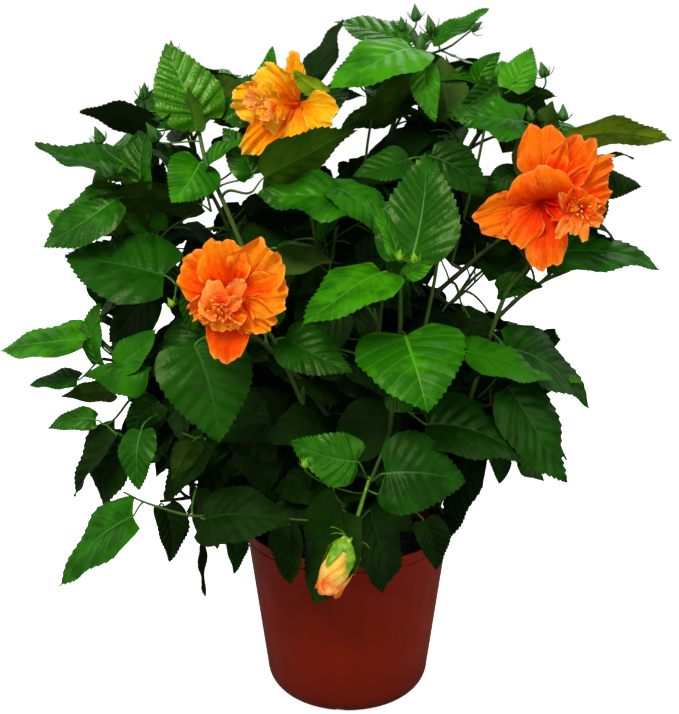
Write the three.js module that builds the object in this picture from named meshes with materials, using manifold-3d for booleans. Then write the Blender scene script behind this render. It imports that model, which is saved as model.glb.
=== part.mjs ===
// A double-flowered hibiscus shrub in its round plastic nursery pot.
// Millimetres, +Z up. The origin is the centre of the pot's flat underside, and -Y is the front.
import * as THREE from "three";
import { mergeVertices } from "three/addons/utils/BufferGeometryUtils.js";
import Module from "manifold-3d";

const wasm = await Module();
wasm.setup();

// ---------------------------------------------------------------- driving dimensions

const GAP = 0.3; // clearance between pieces that touch on the real plant

const POT = {
  height: 222,
  rimRadius: 127,
  footRadius: 98.5, // where the straight wall would meet the ground
  footRounding: 29,
  wall: 2.6,
  grooveDepth: 1.1,
  grooveBelowRim: 13,
  grooveWidth: 3,
  segments: 36,
  roundingSteps: 3,
};

const DRAIN = { count: 4, bearing: -6, width: 13, height: 13, inner: 60 };

const SOIL = { belowRim: 28, crown: 3, steps: 2 };

const STEM = { foot: 6.6, top: 5, flare: 3.6, flareHeight: 0.07, sides: 7, steps: 6 };

const BOUGH = { start: 4.2, end: 2.4, sides: 5, steps: 4, kneeOut: 0.26, kneeUp: 0.58 };

const MASS = {
  detail: 5,
  lobes: 11,
  valley: 0.74, // the reach between the lobes, as a share of the mass's half sizes
  lobeSharpness: 6,
  tipReach: 0.34, // how much further the longest spray reaches
  tipSharpness: 12,
  apart: 3,
};

const RIM_CLEARANCE = 5; // how far the lowest foliage keeps from the pot's lip

const COLOUR = {
  pot: 0x6e2114,
  soil: 0x2a211b,
  stem: 0x5c5a34,
  bough: 0x5c7a2e,
  foliage: 0x2c7a1c,
};

// Bearings are degrees round the plant: 0 is the front, 90 the right, 180 the back.
// Each stem leaves the soil at `foot` from the pot's axis and tops out at `reach` and `height`.
const STEMS = [
  { name: "stem_front", bearing: 8, foot: 31, reach: 78, height: 345 },
  { name: "stem_left", bearing: -88, foot: 31, reach: 84, height: 350 },
  { name: "stem_right", bearing: 88, foot: 31, reach: 84, height: 350 },
  { name: "stem_back", bearing: 180, foot: 31, reach: 84, height: 345 },
  { name: "stem_middle", bearing: -40, foot: 2, reach: 10, height: 420 },
];

// One row for each mass of foliage and the bough that carries it: the bearing, reach and height of its
// middle, its half sizes out, across and up, the bearing and rise of its longest spray, and the stem that
// its bough leaves, at a share of the stem's height.
const MASSES = [
  ["top_left", [-82, 196, 714], [92, 104, 80], [-50, 62], "stem_left", 0.58],
  ["top_front", [-27, 140, 732], [88, 94, 76], [-40, 34], "stem_middle", 0.5],
  ["top_middle", [100, 72, 766], [98, 100, 66], [78, 44], "stem_middle", 0.98],
  ["top_right", [90, 172, 720], [82, 96, 72], [72, 36], "stem_middle", 0.82],
  ["right_upper", [74, 258, 648], [98, 100, 72], [92, 24], "stem_middle", 0.66],
  ["top_back_left", [-143, 205, 706], [98, 118, 82], [-150, 34], "stem_back", 0.4],
  ["top_back_right", [146, 216, 700], [98, 118, 82], [136, 38], "stem_back", 0.56],
  ["left_arm", [-84, 254, 596], [98, 106, 84], [-90, 34], "stem_left", 0.97],
  ["front_left", [-33, 226, 530], [94, 102, 104], [-46, -52], "stem_front", 0.76],
  ["front_middle", [14, 208, 576], [90, 104, 114], [40, 44], "stem_front", 0.97],
  ["front_right", [60, 212, 414], [94, 104, 94], [80, -44], "stem_middle", 0.34],
  ["right", [92, 248, 536], [100, 104, 70], [66, 6], "stem_right", 0.97],
  ["left", [-77, 264, 446], [110, 106, 80], [-92, 6], "stem_left", 0.78],
  ["back", [180, 232, 534], [92, 122, 104], [172, -20], "stem_back", 0.97],
  ["back_left", [-128, 252, 500], [98, 108, 104], [-112, 12], "stem_back", 0.84],
  ["back_right", [132, 252, 496], [98, 108, 104], [140, -16], "stem_back", 0.76],
  ["low_left", [-70, 226, 288], [106, 96, 98], [-72, -42], "stem_left", 0.26],
  ["low_front", [-4, 172, 304], [88, 124, 98], [6, -52], "stem_front", 0.42],
  ["low_right", [84, 166, 312], [74, 92, 84], [98, -44], "stem_right", 0.3],
  ["low_back_left", [-146, 204, 304], [92, 112, 94], [-158, -44], "stem_back", 0.4],
  ["low_back_right", [142, 204, 304], [92, 112, 94], [128, -42], "stem_back", 0.26],
].map(([name, at, size, tip, stem, leaves]) => ({ name, at, size, tip, stem, leaves }));

// ---------------------------------------------------------------- helpers

const UP = new THREE.Vector3(0, 0, 1);
const SOIL_TOP = POT.height - SOIL.belowRim;

// The unit vector that points outwards at a bearing.
function outwards(bearing) {
  const angle = THREE.MathUtils.degToRad(bearing);
  return new THREE.Vector3(Math.sin(angle), -Math.cos(angle), 0);
}

// The point at a bearing, a distance from the pot's axis and a height.
function place(bearing, reach, height) {
  return outwards(bearing).multiplyScalar(reach).setZ(height);
}

// A repeatable stream of numbers from 0 to 1.
function seeded(seed) {
  let state = seed * 2654435761;
  return () => {
    state = (state ^ (state << 13)) >>> 0;
    state = (state ^ (state >>> 17)) >>> 0;
    state = (state ^ (state << 5)) >>> 0;
    return state / 4294967296;
  };
}

// A closed geometry as a solid that can be cut.
function solidOf(geometry) {
  const bare = geometry.clone();
  bare.deleteAttribute("normal");
  bare.deleteAttribute("uv");
  const merged = mergeVertices(bare, 1e-3);
  const vertProperties = new Float32Array(merged.attributes.position.array);
  const triVerts = new Uint32Array(merged.index.array);
  return new wasm.Manifold(new wasm.Mesh({ numProp: 3, vertProperties, triVerts }));
}

// The largest piece of a cut solid as a geometry.
function geometryOf(solid) {
  const pieces = solid.decompose().sort((a, b) => b.volume() - a.volume());
  const mesh = pieces[0].getMesh();
  const geometry = new THREE.BufferGeometry();
  geometry.setAttribute("position", new THREE.BufferAttribute(mesh.vertProperties, mesh.numProp));
  geometry.setIndex(new THREE.BufferAttribute(mesh.triVerts, 1));
  return geometry;
}

function named(name, geometry, color, roughness) {
  const material = new THREE.MeshStandardMaterial({ color, roughness, metalness: 0 });
  const mesh = new THREE.Mesh(geometry, material);
  mesh.name = name;
  return mesh;
}

// ---------------------------------------------------------------- pot and soil

// The outer wall's radius at a height above the rounding.
function wallRadius(height) {
  return THREE.MathUtils.lerp(POT.footRadius, POT.rimRadius, height / POT.height);
}

// A quarter round from the flat underside up to the wall, at an offset inside the outer surface.
function footRound(offset) {
  const radius = POT.footRounding - offset;
  const centre = wallRadius(POT.footRounding) - POT.footRounding;
  return Array.from({ length: POT.roundingSteps + 1 }, (_, i) => {
    const angle = (Math.PI / 2) * (i / POT.roundingSteps);
    const x = centre + radius * Math.sin(angle);
    return new THREE.Vector2(x, POT.footRounding - radius * Math.cos(angle));
  });
}

// A profile turned about the vertical axis.
function turned(profile, segments = POT.segments) {
  return new THREE.LatheGeometry(profile, segments).rotateX(Math.PI / 2);
}

// The shell: flat foot, tapering wall with a groove under the lip, and a round-edged mouth.
function potShell() {
  const groove = POT.height - POT.grooveBelowRim;
  const outer = (height, inset = 0) => new THREE.Vector2(wallRadius(height) - inset, height);
  const profile = [
    new THREE.Vector2(0, 0),
    ...footRound(0),
    outer(groove - POT.grooveWidth),
    outer(groove - POT.grooveWidth / 2, POT.grooveDepth),
    outer(groove),
    outer(POT.height - 1.5),
    outer(POT.height, POT.wall / 2),
    outer(POT.height - 1.5, POT.wall),
    ...footRound(POT.wall).reverse(),
    new THREE.Vector2(0, POT.wall),
  ];
  return turned(profile);
}

// A ring of low arches cut through the edge of the foot, so that water can leave.
function pot() {
  const length = POT.footRadius - DRAIN.inner + POT.footRounding;
  let shell = solidOf(potShell());
  for (let i = 0; i < DRAIN.count; i += 1) {
    const arch = new THREE.CylinderGeometry(DRAIN.height, DRAIN.height, length, 12);
    arch.scale(DRAIN.width / 2 / DRAIN.height, 1, 1);
    arch.translate(0, -(DRAIN.inner + length / 2), 0);
    arch.rotateZ(THREE.MathUtils.degToRad(DRAIN.bearing) + (Math.PI * 2 * i) / DRAIN.count);
    shell = shell.subtract(solidOf(arch));
  }
  return geometryOf(shell);
}

// The root ball: it fills the shell, and its top is slightly domed.
function rootBall() {
  const inset = POT.wall + GAP;
  const side = footRound(inset);
  const rim = wallRadius(SOIL_TOP - SOIL.crown) - inset;
  const dome = Array.from({ length: SOIL.steps }, (_, i) => {
    const share = 1 - (i + 1) / SOIL.steps;
    return new THREE.Vector2(rim * share, SOIL_TOP - SOIL.crown * share * share);
  });
  const edge = new THREE.Vector2(rim, SOIL_TOP - SOIL.crown);
  return turned([new THREE.Vector2(0, inset), ...side, edge, ...dome]);
}

// ---------------------------------------------------------------- stems and boughs

// A tapering limb with flat ends that follows a curve: `radiusAt` gives its radius at a share of its length.
function limb(curve, radiusAt, sides, steps) {
  const geometry = new THREE.CylinderGeometry(1, 1, 1, sides, steps);
  const { normals, binormals } = curve.computeFrenetFrames(steps, false);
  const position = geometry.attributes.position;
  const vertex = new THREE.Vector3();
  for (let i = 0; i < position.count; i += 1) {
    vertex.fromBufferAttribute(position, i);
    const step = Math.round((vertex.y + 0.5) * steps);
    const share = step / steps;
    const radius = radiusAt(share);
    const centre = curve.getPointAt(share);
    centre.addScaledVector(normals[step], vertex.x * radius);
    centre.addScaledVector(binormals[step], -vertex.z * radius);
    position.setXYZ(i, centre.x, centre.y, centre.z);
  }
  return geometry;
}

// A stem rises straight from the soil and leans outwards above it.
function stemCurve(stem) {
  const foot = place(stem.bearing, stem.foot, SOIL_TOP + GAP);
  const top = place(stem.bearing, stem.reach, stem.height);
  const rise = (stem.height - SOIL_TOP) / 3;
  const low = foot.clone().addScaledVector(UP, rise);
  const high = top.clone().lerp(foot, 0.3).addScaledVector(UP, -rise / 4);
  return new THREE.CubicBezierCurve3(foot, low, high, top);
}

function stemGeometry(stem, extra = 0) {
  const radiusAt = (share) =>
    THREE.MathUtils.lerp(STEM.foot, STEM.top, share) + STEM.flare * Math.exp(-share / STEM.flareHeight) + extra;
  return limb(stemCurve(stem), radiusAt, STEM.sides, STEM.steps);
}

// A bough leaves its stem's axis, climbs, and turns out to the middle of its mass.
function boughCurve(row) {
  const stem = STEMS.find((s) => s.name === row.stem);
  const start = stemCurve(stem).getPointAt(row.leaves);
  const end = centreOf(row);
  const knee = start.clone().lerp(end, BOUGH.kneeOut);
  knee.setZ(THREE.MathUtils.lerp(start.z, end.z, BOUGH.kneeUp));
  return new THREE.QuadraticBezierCurve3(start, knee, end);
}

function boughGeometry(row) {
  const radiusAt = (share) => THREE.MathUtils.lerp(BOUGH.start, BOUGH.end, share);
  return limb(boughCurve(row), radiusAt, BOUGH.sides, BOUGH.steps);
}

// ---------------------------------------------------------------- foliage

function centreOf(row) {
  return place(...row.at);
}

// The direction of a mass's longest spray.
function tipOf(row) {
  const [bearing, rise] = row.tip;
  return outwards(bearing).addScaledVector(UP, Math.tan(THREE.MathUtils.degToRad(rise))).normalize();
}

// The directions out, across and up at a mass.
function axesOf(row) {
  const out = outwards(row.at[0]);
  return [out, new THREE.Vector3().crossVectors(UP, out), UP];
}

// How far an ellipsoid of the mass's half sizes reaches along a unit direction.
function ellipsoidReach(row, direction) {
  const parts = axesOf(row).map((axis, i) => direction.dot(axis) / row.size[i]);
  return 1 / Math.hypot(...parts);
}

// The directions of a mass's sprays: each is a lobe of its surface.
function lobesOf(row) {
  const [bearing, reach, height] = row.at;
  const random = seeded(bearing + reach * 31 + height * 977);
  const lobes = [tipOf(row)];
  while (lobes.length < MASS.lobes) {
    const turn = random() * Math.PI * 2;
    const rise = random() * 1.7 - 0.7;
    const flat = Math.sqrt(Math.max(0, 1 - rise * rise));
    lobes.push(new THREE.Vector3(Math.cos(turn) * flat, Math.sin(turn) * flat, rise).normalize());
  }
  return lobes;
}

// The planes that a mass stays behind: one towards each neighbour, and one off the pot's lip.
function planesOf(row) {
  const centre = centreOf(row);
  const planes = MASSES.filter((other) => other !== row).map((other) => {
    const normal = centreOf(other).sub(centre);
    const distance = normal.length();
    normal.normalize();
    const mine = ellipsoidReach(row, normal);
    const theirs = ellipsoidReach(other, normal.clone().negate());
    return { normal, distance: distance * (mine / (mine + theirs)) - MASS.apart / 2 };
  });
  const lip = place(row.at[0], POT.rimRadius + RIM_CLEARANCE, POT.height + RIM_CLEARANCE);
  const normal = outwards(row.at[0]).add(UP).normalize().negate();
  planes.push({ normal, distance: lip.sub(centre).dot(normal) });
  return planes;
}

// A closed uneven mass: an ellipsoid with a lobe for each spray, flattened where it meets a neighbour.
function massGeometry(row, extra = 0) {
  const geometry = new THREE.OctahedronGeometry(1, MASS.detail);
  const position = geometry.attributes.position;
  const centre = centreOf(row);
  const lobes = lobesOf(row);
  const tip = tipOf(row);
  const planes = planesOf(row);
  const direction = new THREE.Vector3();
  for (let i = 0; i < position.count; i += 1) {
    direction.fromBufferAttribute(position, i).normalize();
    const lobe = Math.max(...lobes.map((l) => Math.max(0, direction.dot(l)) ** MASS.lobeSharpness));
    const spray = MASS.tipReach * Math.max(0, direction.dot(tip)) ** MASS.tipSharpness;
    let reach = ellipsoidReach(row, direction) * (MASS.valley + (1 - MASS.valley) * lobe + spray);
    for (const plane of planes) {
      const facing = direction.dot(plane.normal);
      if (facing > 0) reach = Math.min(reach, plane.distance / facing);
    }
    const point = centre.clone().addScaledVector(direction, reach + extra);
    position.setXYZ(i, point.x, point.y, point.z);
  }
  return geometry;
}

// ---------------------------------------------------------------- the whole plant

const shrub = new THREE.Group();

shrub.add(named("pot", pot(), COLOUR.pot, 0.45));
shrub.add(named("soil", rootBall(), COLOUR.soil, 0.95));

for (const stem of STEMS) {
  shrub.add(named(stem.name, stemGeometry(stem), COLOUR.stem, 0.7));
}

// Boughs butt against the stem they leave and stop at the skin of the mass they carry.
for (const row of MASSES) {
  let bough = solidOf(boughGeometry(row)).subtract(solidOf(massGeometry(row, GAP)));
  for (const stem of STEMS) {
    bough = bough.subtract(solidOf(stemGeometry(stem, GAP)));
  }
  shrub.add(named("bough_" + row.name, geometryOf(bough), COLOUR.bough, 0.6));
  shrub.add(named("foliage_" + row.name, massGeometry(row), COLOUR.foliage, 0.5));
}

export default shrub;
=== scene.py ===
"""The looks of a double-flowered hibiscus shrub in its round nursery pot.

Metres, +Z up, -Y to the front. Bearings are degrees round the plant: 0 is the front, 90 its right.
"""

import sys
import logging
import math
from dataclasses import dataclass, field
from enum import Enum, IntEnum
from math import cos, pi, radians, sin
from typing import Any, Callable, Iterable, Sequence

import bpy
import numpy as np
from mathutils import Matrix, Vector


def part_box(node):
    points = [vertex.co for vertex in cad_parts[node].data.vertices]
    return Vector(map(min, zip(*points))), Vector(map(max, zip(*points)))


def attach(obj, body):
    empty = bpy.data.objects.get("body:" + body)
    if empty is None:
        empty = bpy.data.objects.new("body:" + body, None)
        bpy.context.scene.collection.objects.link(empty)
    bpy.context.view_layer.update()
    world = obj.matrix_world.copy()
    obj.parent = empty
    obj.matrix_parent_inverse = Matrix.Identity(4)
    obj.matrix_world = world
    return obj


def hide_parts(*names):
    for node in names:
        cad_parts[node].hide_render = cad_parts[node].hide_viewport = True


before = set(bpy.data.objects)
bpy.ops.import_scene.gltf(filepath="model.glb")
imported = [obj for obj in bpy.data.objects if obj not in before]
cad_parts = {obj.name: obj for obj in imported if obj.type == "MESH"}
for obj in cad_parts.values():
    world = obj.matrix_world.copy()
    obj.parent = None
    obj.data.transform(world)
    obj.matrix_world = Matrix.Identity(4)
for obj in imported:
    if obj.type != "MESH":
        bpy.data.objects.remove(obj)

log = logging.getLogger("hibiscus")

Points = np.ndarray
Chance = np.random.Generator
Object, Material, Socket = bpy.types.Object, bpy.types.Material, bpy.types.NodeSocket
Colour = tuple[int, int, int]
Shape = tuple[Points, list]

GOLDEN_ANGLE = radians(137.5)
UP = np.array((0.0, 0.0, 1.0))
TINY = 1e-12


# ---------------------------------------------------------------- small maths


def unit(vector: Sequence[float]) -> Points:
    """The vector at length one."""
    array = np.asarray(vector, float)
    return array / max(float(np.linalg.norm(array)), 1e-9)


def aim(bearing: float, rise: float = 0.0) -> Points:
    """The unit vector at a bearing round the plant and a rise above the level, both in degrees."""
    turn, lift = radians(bearing), radians(rise)
    return np.array((sin(turn) * cos(lift), -cos(turn) * cos(lift), sin(lift)))


def across_to(vector: Points, axis: Points) -> Points:
    """The part of a vector that is square to an axis, at length one."""
    return unit(vector - axis * float(np.dot(vector, axis)))


def turned(vector: Points, axis: Points, angle: float) -> Points:
    """A vector turned about an axis by an angle in radians."""
    return np.array(Matrix.Rotation(angle, 3, Vector(axis)) @ Vector(vector))


def round_angles(count: int) -> Points:
    """Even angles round a full turn."""
    return np.linspace(0.0, 2.0 * pi, count, endpoint=False)


def smoothstep(low: float, high: float, value: Any) -> Any:
    """An eased 0 to 1 as a value goes from low to high."""
    share = np.clip((np.asarray(value, float) - low) / (high - low), 0.0, 1.0)
    return share * share * (3.0 - 2.0 * share)


def distances(path: Points) -> Points:
    """How far along a path each of its points is."""
    return np.concatenate([[0.0], np.cumsum(np.linalg.norm(np.diff(path, axis=0), axis=1))])


def arc(start: Points, leaving: Points, end: Points, arriving: Points, steps: int) -> Points:
    """Points on a smooth curve.

    Args:
        start: where the curve begins.
        leaving: its direction there; its length says how far it holds.
        end: where the curve ends.
        arriving: its direction there; its length says how far it holds.
        steps: how many spans the curve has.

    Returns:
        One row for each point.
    """
    t = np.linspace(0.0, 1.0, steps + 1)[:, None]
    a, b = start + leaving / 3.0, end - arriving / 3.0
    return (1 - t) ** 3 * start + 3 * (1 - t) ** 2 * t * a + 3 * (1 - t) * t**2 * b + t**3 * end


def through(points: Sequence[Sequence[float]], spans: int = 5) -> Points:
    """A smooth curve through a few points.

    Args:
        points: the points, in order.
        spans: how many spans the curve has from each point to the next.

    Returns:
        One row for each point of the curve.
    """
    p = np.asarray(points, float)
    slopes = np.gradient(p, axis=0)
    pieces = [arc(p[i], slopes[i], p[i + 1], slopes[i + 1], spans)[:-1] for i in range(len(p) - 1)]
    return np.vstack(pieces + [p[-1:]])


def linear(red: int, green: int, blue: int) -> tuple[float, float, float, float]:
    """A screen colour, 0 to 255 a channel, as the linear colour that a shader takes."""
    shares = (value / 255.0 for value in (red, green, blue))
    return *(s / 12.92 if s <= 0.04045 else ((s + 0.055) / 1.055) ** 2.4 for s in shares), 1.0


# ---------------------------------------------------------------- material graphs


class Wire:
    """An output in a material, with arithmetic on it."""

    def __init__(self, graph: "MaterialGraph", socket: Socket):
        """Wraps one output socket of a graph."""
        self.graph, self.socket = graph, socket

    def __add__(self, other: Any) -> "Wire":
        """This plus another."""
        return self.graph.maths("ADD", self, other)

    def __sub__(self, other: Any) -> "Wire":
        """This less another."""
        return self.graph.maths("SUBTRACT", self, other)

    def __rsub__(self, other: Any) -> "Wire":
        """Another less this."""
        return self.graph.maths("SUBTRACT", other, self)

    def __mul__(self, other: Any) -> "Wire":
        """This times another."""
        return self.graph.maths("MULTIPLY", self, other)

    __radd__ = __add__
    __rmul__ = __mul__


def add_node(tree: bpy.types.NodeTree, kind: str, inputs: dict[Any, Any], settings: dict[str, Any]) -> Any:
    """Adds one node to any tree.

    Args:
        tree: the tree.
        kind: the node's type.
        inputs: what feeds each input: an output socket, or a constant.
        settings: the node's own properties, which are set first.

    Returns:
        The node.
    """
    made = tree.nodes.new(kind)
    for key, value in settings.items():
        setattr(made, key, value)
    for key, value in inputs.items():
        if isinstance(value, Socket):
            tree.links.new(value, made.inputs[key])
        else:
            made.inputs[key].default_value = value
    return made


class MaterialGraph:
    """A material, or the room's light, and the nodes in it."""

    def __init__(self, name: str, room: bool = False):
        """Starts an empty graph.

        Args:
            name: the name of the material.
            room: whether it paints the world and not a surface.
        """
        self.material = (bpy.data.worlds if room else bpy.data.materials).new(name)
        self.material.use_nodes = True
        self.tree = self.material.node_tree
        self.tree.nodes.clear()
        self.ending = "ShaderNodeOutputWorld" if room else "ShaderNodeOutputMaterial"

    def node(self, kind: str, inputs: dict | None = None, output: Any = 0, **settings: Any) -> Wire:
        """Adds one node.

        Args:
            kind: the node's type.
            inputs: what feeds each input: a wire, or a constant.
            output: the output to return.
            settings: the node's own properties.

        Returns:
            The chosen output.
        """
        fed = {key: getattr(value, "socket", value) for key, value in (inputs or {}).items()}
        return Wire(self, add_node(self.tree, kind, fed, settings).outputs[output])

    def maths(self, operation: str, a: Any, b: Any = 0.0) -> Wire:
        """One sum of two values."""
        return self.node("ShaderNodeMath", {0: a, 1: b}, operation=operation)

    def place(self) -> Wire:
        """Where the surface is, in metres."""
        return self.node("ShaderNodeTexCoord", output="Object")

    def attributes(self, *names: str) -> list[Wire]:
        """Numbers carried by the mesh."""
        return [self.node("ShaderNodeAttribute", output="Fac", attribute_name=name) for name in names]

    def noise(self, scale: float, detail: float = 3.0, roughness: float = 0.55, spot: Any = None) -> Wire:
        """Soft mottling, 0 to 1.

        Args:
            scale: how many grains there are to the metre.
            detail: how fine its finest grains are.
            roughness: how strong the fine grains are.
            spot: what takes the surface's place, if not the place itself.

        Returns:
            The value.
        """
        fed = {"Vector": spot or self.place(), "Scale": scale, "Detail": detail, "Roughness": roughness}
        return self.node("ShaderNodeTexNoise", fed)

    def between(self, value: Wire, low: float, high: float, start: float = 0.0, end: float = 1.0) -> Wire:
        """A value eased from start to end as it goes from low to high."""
        fed = {0: value, 1: low, 2: high, 3: start, 4: end}
        return self.node("ShaderNodeMapRange", fed, interpolation_type="SMOOTHSTEP")

    def mix(self, share: Any, first: Any, second: Any) -> Wire:
        """Two colours mixed; each is a wire or a screen colour."""
        first, second = (linear(*c) if isinstance(c, tuple) else c for c in (first, second))
        return self.node("ShaderNodeMix", {0: share, 6: first, 7: second}, output=2, data_type="RGBA")

    def bump(self, height: Wire, distance: float, strength: float = 1.0, over: Wire | None = None) -> Wire:
        """The normal of a surface raised by a height.

        Args:
            height: the height.
            distance: how many metres one unit of it is.
            strength: how much of it shows.
            over: a coarser relief that this one lies on.

        Returns:
            The normal.
        """
        fed = {"Height": height, "Distance": distance, "Strength": strength}
        return self.node("ShaderNodeBump", fed if over is None else {**fed, "Normal": over})

    def surface(self, **inputs: Any) -> Wire:
        """The plain surface shader, whose inputs are named with _ for each space."""
        fed = {key.replace("_", " "): value for key, value in inputs.items()}
        return self.node("ShaderNodeBsdfPrincipled", fed)

    def seen(self) -> Wire:
        """One where the camera itself looks at the surface, nothing for any other ray."""
        return self.node("ShaderNodeLightPath", output="Is Camera Ray")

    def blend(self, share: Any, first: Wire, second: Wire) -> Wire:
        """Two shaders mixed."""
        return self.node("ShaderNodeMixShader", {0: share, 1: first, 2: second})

    def end(self, shader: Wire) -> Material:
        """Ends the graph in a shader."""
        add_node(self.tree, self.ending, {"Surface": shader.socket}, {})
        return self.material


# ---------------------------------------------------------------- finishes


class Tone(IntEnum):
    """How old and how lit a leaf is."""

    YOUNG = 0
    FRESH = 1
    DEEP = 2
    SHADE = 3


class Skin(IntEnum):
    """The parts of a leaf that are coloured apart."""

    UPPER = 0
    UNDER = 1
    VEIN = 2


@dataclass(frozen=True)
class LeafPaint:
    """The colours of one tone of leaf."""

    name: str
    dark: Colour
    light: Colour
    under: Colour
    # the colour of the veins, also the colour of the painted highlight on the crests of the puckers
    vein: Colour
    gloss: float
    shine: float

    def upper(self) -> Material:
        """The waxy upper face: mottled green, puckered between its veins, with a painted highlight on the
        crests of its puckers.

        Returns:
            The finished material.
        """
        g = MaterialGraph(f"leaf_{self.name}_upper")
        along, across, crinkle, lot = g.attributes("along", "across", "crinkle", "lot")
        colour = g.mix(g.between(g.noise(34.0) + (lot - 0.5) * 0.3, 0.34, 0.66), self.dark, self.light)
        wander = g.noise(120.0, 1.5)
        valley = g.maths("COSINE", (along + (wander - 0.5) * 0.16) * (2.0 * pi))
        pillow = 0.5 - valley * 0.5
        colour = g.mix(g.between(valley, 0.86, 1.0, 0.0, 0.24), colour, self.vein)
        folds = across * 46.0 + wander * 18.0 + along * 2.0 + lot * 6.0
        pucker = g.maths("SINE", folds) * pillow * crinkle
        # painted highlight: the crests of the puckers are painted paler, in the vein colour
        crest_highlight = g.between(pillow * crinkle + pucker * 0.3 + (wander - 0.5) * 0.9, 0.25, 1.0, 0.0, 0.5)
        colour = g.mix(crest_highlight, colour, self.vein)
        relief = g.bump(g.noise(150.0, 2.0), 0.0007, 0.5, g.bump(g.noise(55.0, 1.0), 0.003, 0.45))
        relief = g.bump(pillow * (crinkle + 0.25), 0.0015, 0.65, relief)
        skin = {"Base_Color": colour, "Normal": g.bump(pucker, 0.0003, 0.7, relief)}
        matt = g.surface(**skin, Roughness=0.6, Specular_IOR_Level=0.04)
        wax = g.surface(**skin, Roughness=self.gloss, Specular_IOR_Level=0.5,
                        Specular_Tint=(0.84, 1.0, 0.38, 1.0))
        return g.end(g.blend((crinkle * 1.5 + 0.06) * self.shine, matt, wax))

    def under_side(self) -> Material:
        """The matt underside.

        Returns:
            The finished material.
        """
        g = MaterialGraph(f"leaf_{self.name}_under")
        colour = g.mix(g.between(g.noise(60.0), 0.35, 0.7, 0.0, 0.6), self.under, self.dark)
        relief = g.bump(g.noise(420.0), 0.0005, 0.5)
        return g.end(g.surface(Base_Color=colour, Roughness=0.66, Normal=relief, Specular_IOR_Level=0.1))

    def midrib(self) -> Material:
        """The pale midrib.

        Returns:
            The finished material.
        """
        g = MaterialGraph(f"leaf_{self.name}_vein")
        colour = g.mix(g.between(g.noise(45.0), 0.3, 0.7, 0.2, 0.7), self.vein, self.light)
        relief = g.bump(g.noise(900.0), 0.0002, 0.4)
        return g.end(g.surface(Base_Color=colour, Roughness=0.45, Normal=relief,
                               Specular_IOR_Level=self.shine * 0.6))


# the four tones are leaves of different ages and also lit and shaded copies of one paint: the deep and shade
# paints are painted shade for leaves low in and inside the crown, and the young underside is painted paler
# as painted light through the blade
PAINTS = {
    Tone.YOUNG: LeafPaint("young", (24, 86, 0), (52, 128, 1), (150, 186, 24), (76, 142, 12), 0.31, 0.45),
    Tone.FRESH: LeafPaint("fresh", (16, 68, 0), (34, 100, 1), (58, 90, 4), (52, 114, 8), 0.29, 0.48),
    Tone.DEEP: LeafPaint("deep", (9, 46, 0), (19, 69, 1), (50, 78, 10), (32, 84, 7), 0.28, 0.3),
    Tone.SHADE: LeafPaint("shade", (10, 32, 1), (17, 46, 3), (24, 40, 4), (22, 54, 7), 0.48, 0.08),
}


@dataclass(frozen=True)
class PetalPaint:
    """The colours of a bloom, from its throat to its edge, with its flush and the line along its rim, and
    the strength of its painted glow.
    """

    name: str
    # the throat's colour, also the colour of the painted shade in the creases
    throat: Colour
    middle: Colour
    edge: Colour
    # the flush, also the colour of the painted highlight on the crests
    blush: Colour
    rim: Colour
    # the strength of the emission: a painted glow
    glow: float = 0.08

    def material(self) -> Material:
        """Thin, crinkled petal: painted shade darkens its creases, a painted highlight lightens its crests,
        and a faint emission paints a glow of light into it.

        Returns:
            The finished material.
        """
        g = MaterialGraph(f"petal_{self.name}")
        reach, across, rim = g.attributes("reach", "across", "rim")
        far = reach + (g.noise(55.0) - 0.5) * 0.35
        colour = g.mix(g.between(far, 0.08, 0.46), self.throat, self.middle)
        colour = g.mix(g.between(far, 0.5, 1.0), colour, self.edge)
        flush = g.between(g.noise(34.0), 0.46, 0.66, 0.0, 0.8) * g.between(reach, 0.35, 0.9)
        colour = g.mix(flush, colour, self.blush)
        spot = g.node("ShaderNodeCombineXYZ", {0: across * 9.0, 1: reach * 2.2, 2: g.noise(16.0, 1.0) * 2.0})
        creases = g.noise(1.0, 4.0, 0.65, spot)
        # the creases darken toward the throat colour: partly the petal's own streaks, partly painted shade
        # in its folds
        colour = g.mix(g.between(creases, 0.5, 0.7, 0.0, 0.5), colour, self.throat)
        crinkle = g.noise(210.0, 3.0, 0.6)
        # painted highlight: the crests of the crinkles are painted paler, in the blush colour
        crest_highlight = g.between(crinkle + (1.0 - creases) * 0.4, 0.72, 0.92, 0.0, 0.7) * g.between(reach, 0.3, 0.9)
        colour = g.mix(crest_highlight, colour, self.blush)
        colour = g.mix(g.between(rim + (crinkle - 0.5) * 0.05, 0.93, 0.99, 0.0, 0.5), colour, self.rim)
        relief = g.bump(creases, 0.0042, 0.7, g.bump(crinkle, 0.002, 0.7))
        # painted light: the petal emits a little of its own colour
        petal = g.surface(Base_Color=colour, Roughness=0.55, Normal=relief, Specular_IOR_Level=0.05,
                          Emission_Color=colour, Emission_Strength=self.glow)
        glow = g.node("ShaderNodeBsdfTranslucent", {"Color": linear(*self.middle)})
        return g.end(g.blend(0.33, petal, glow))


SUNSET = PetalPaint("sunset", (218, 26, 2), (253, 82, 1), (255, 150, 12), (255, 164, 30), (255, 190, 80))
AMBER = PetalPaint("amber", (244, 66, 2), (255, 140, 2), (255, 192, 6), (255, 208, 44), (255, 226, 120))
CORAL = PetalPaint("coral", (210, 20, 3), (250, 74, 4), (255, 132, 8), (255, 142, 36), (255, 164, 80))
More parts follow.
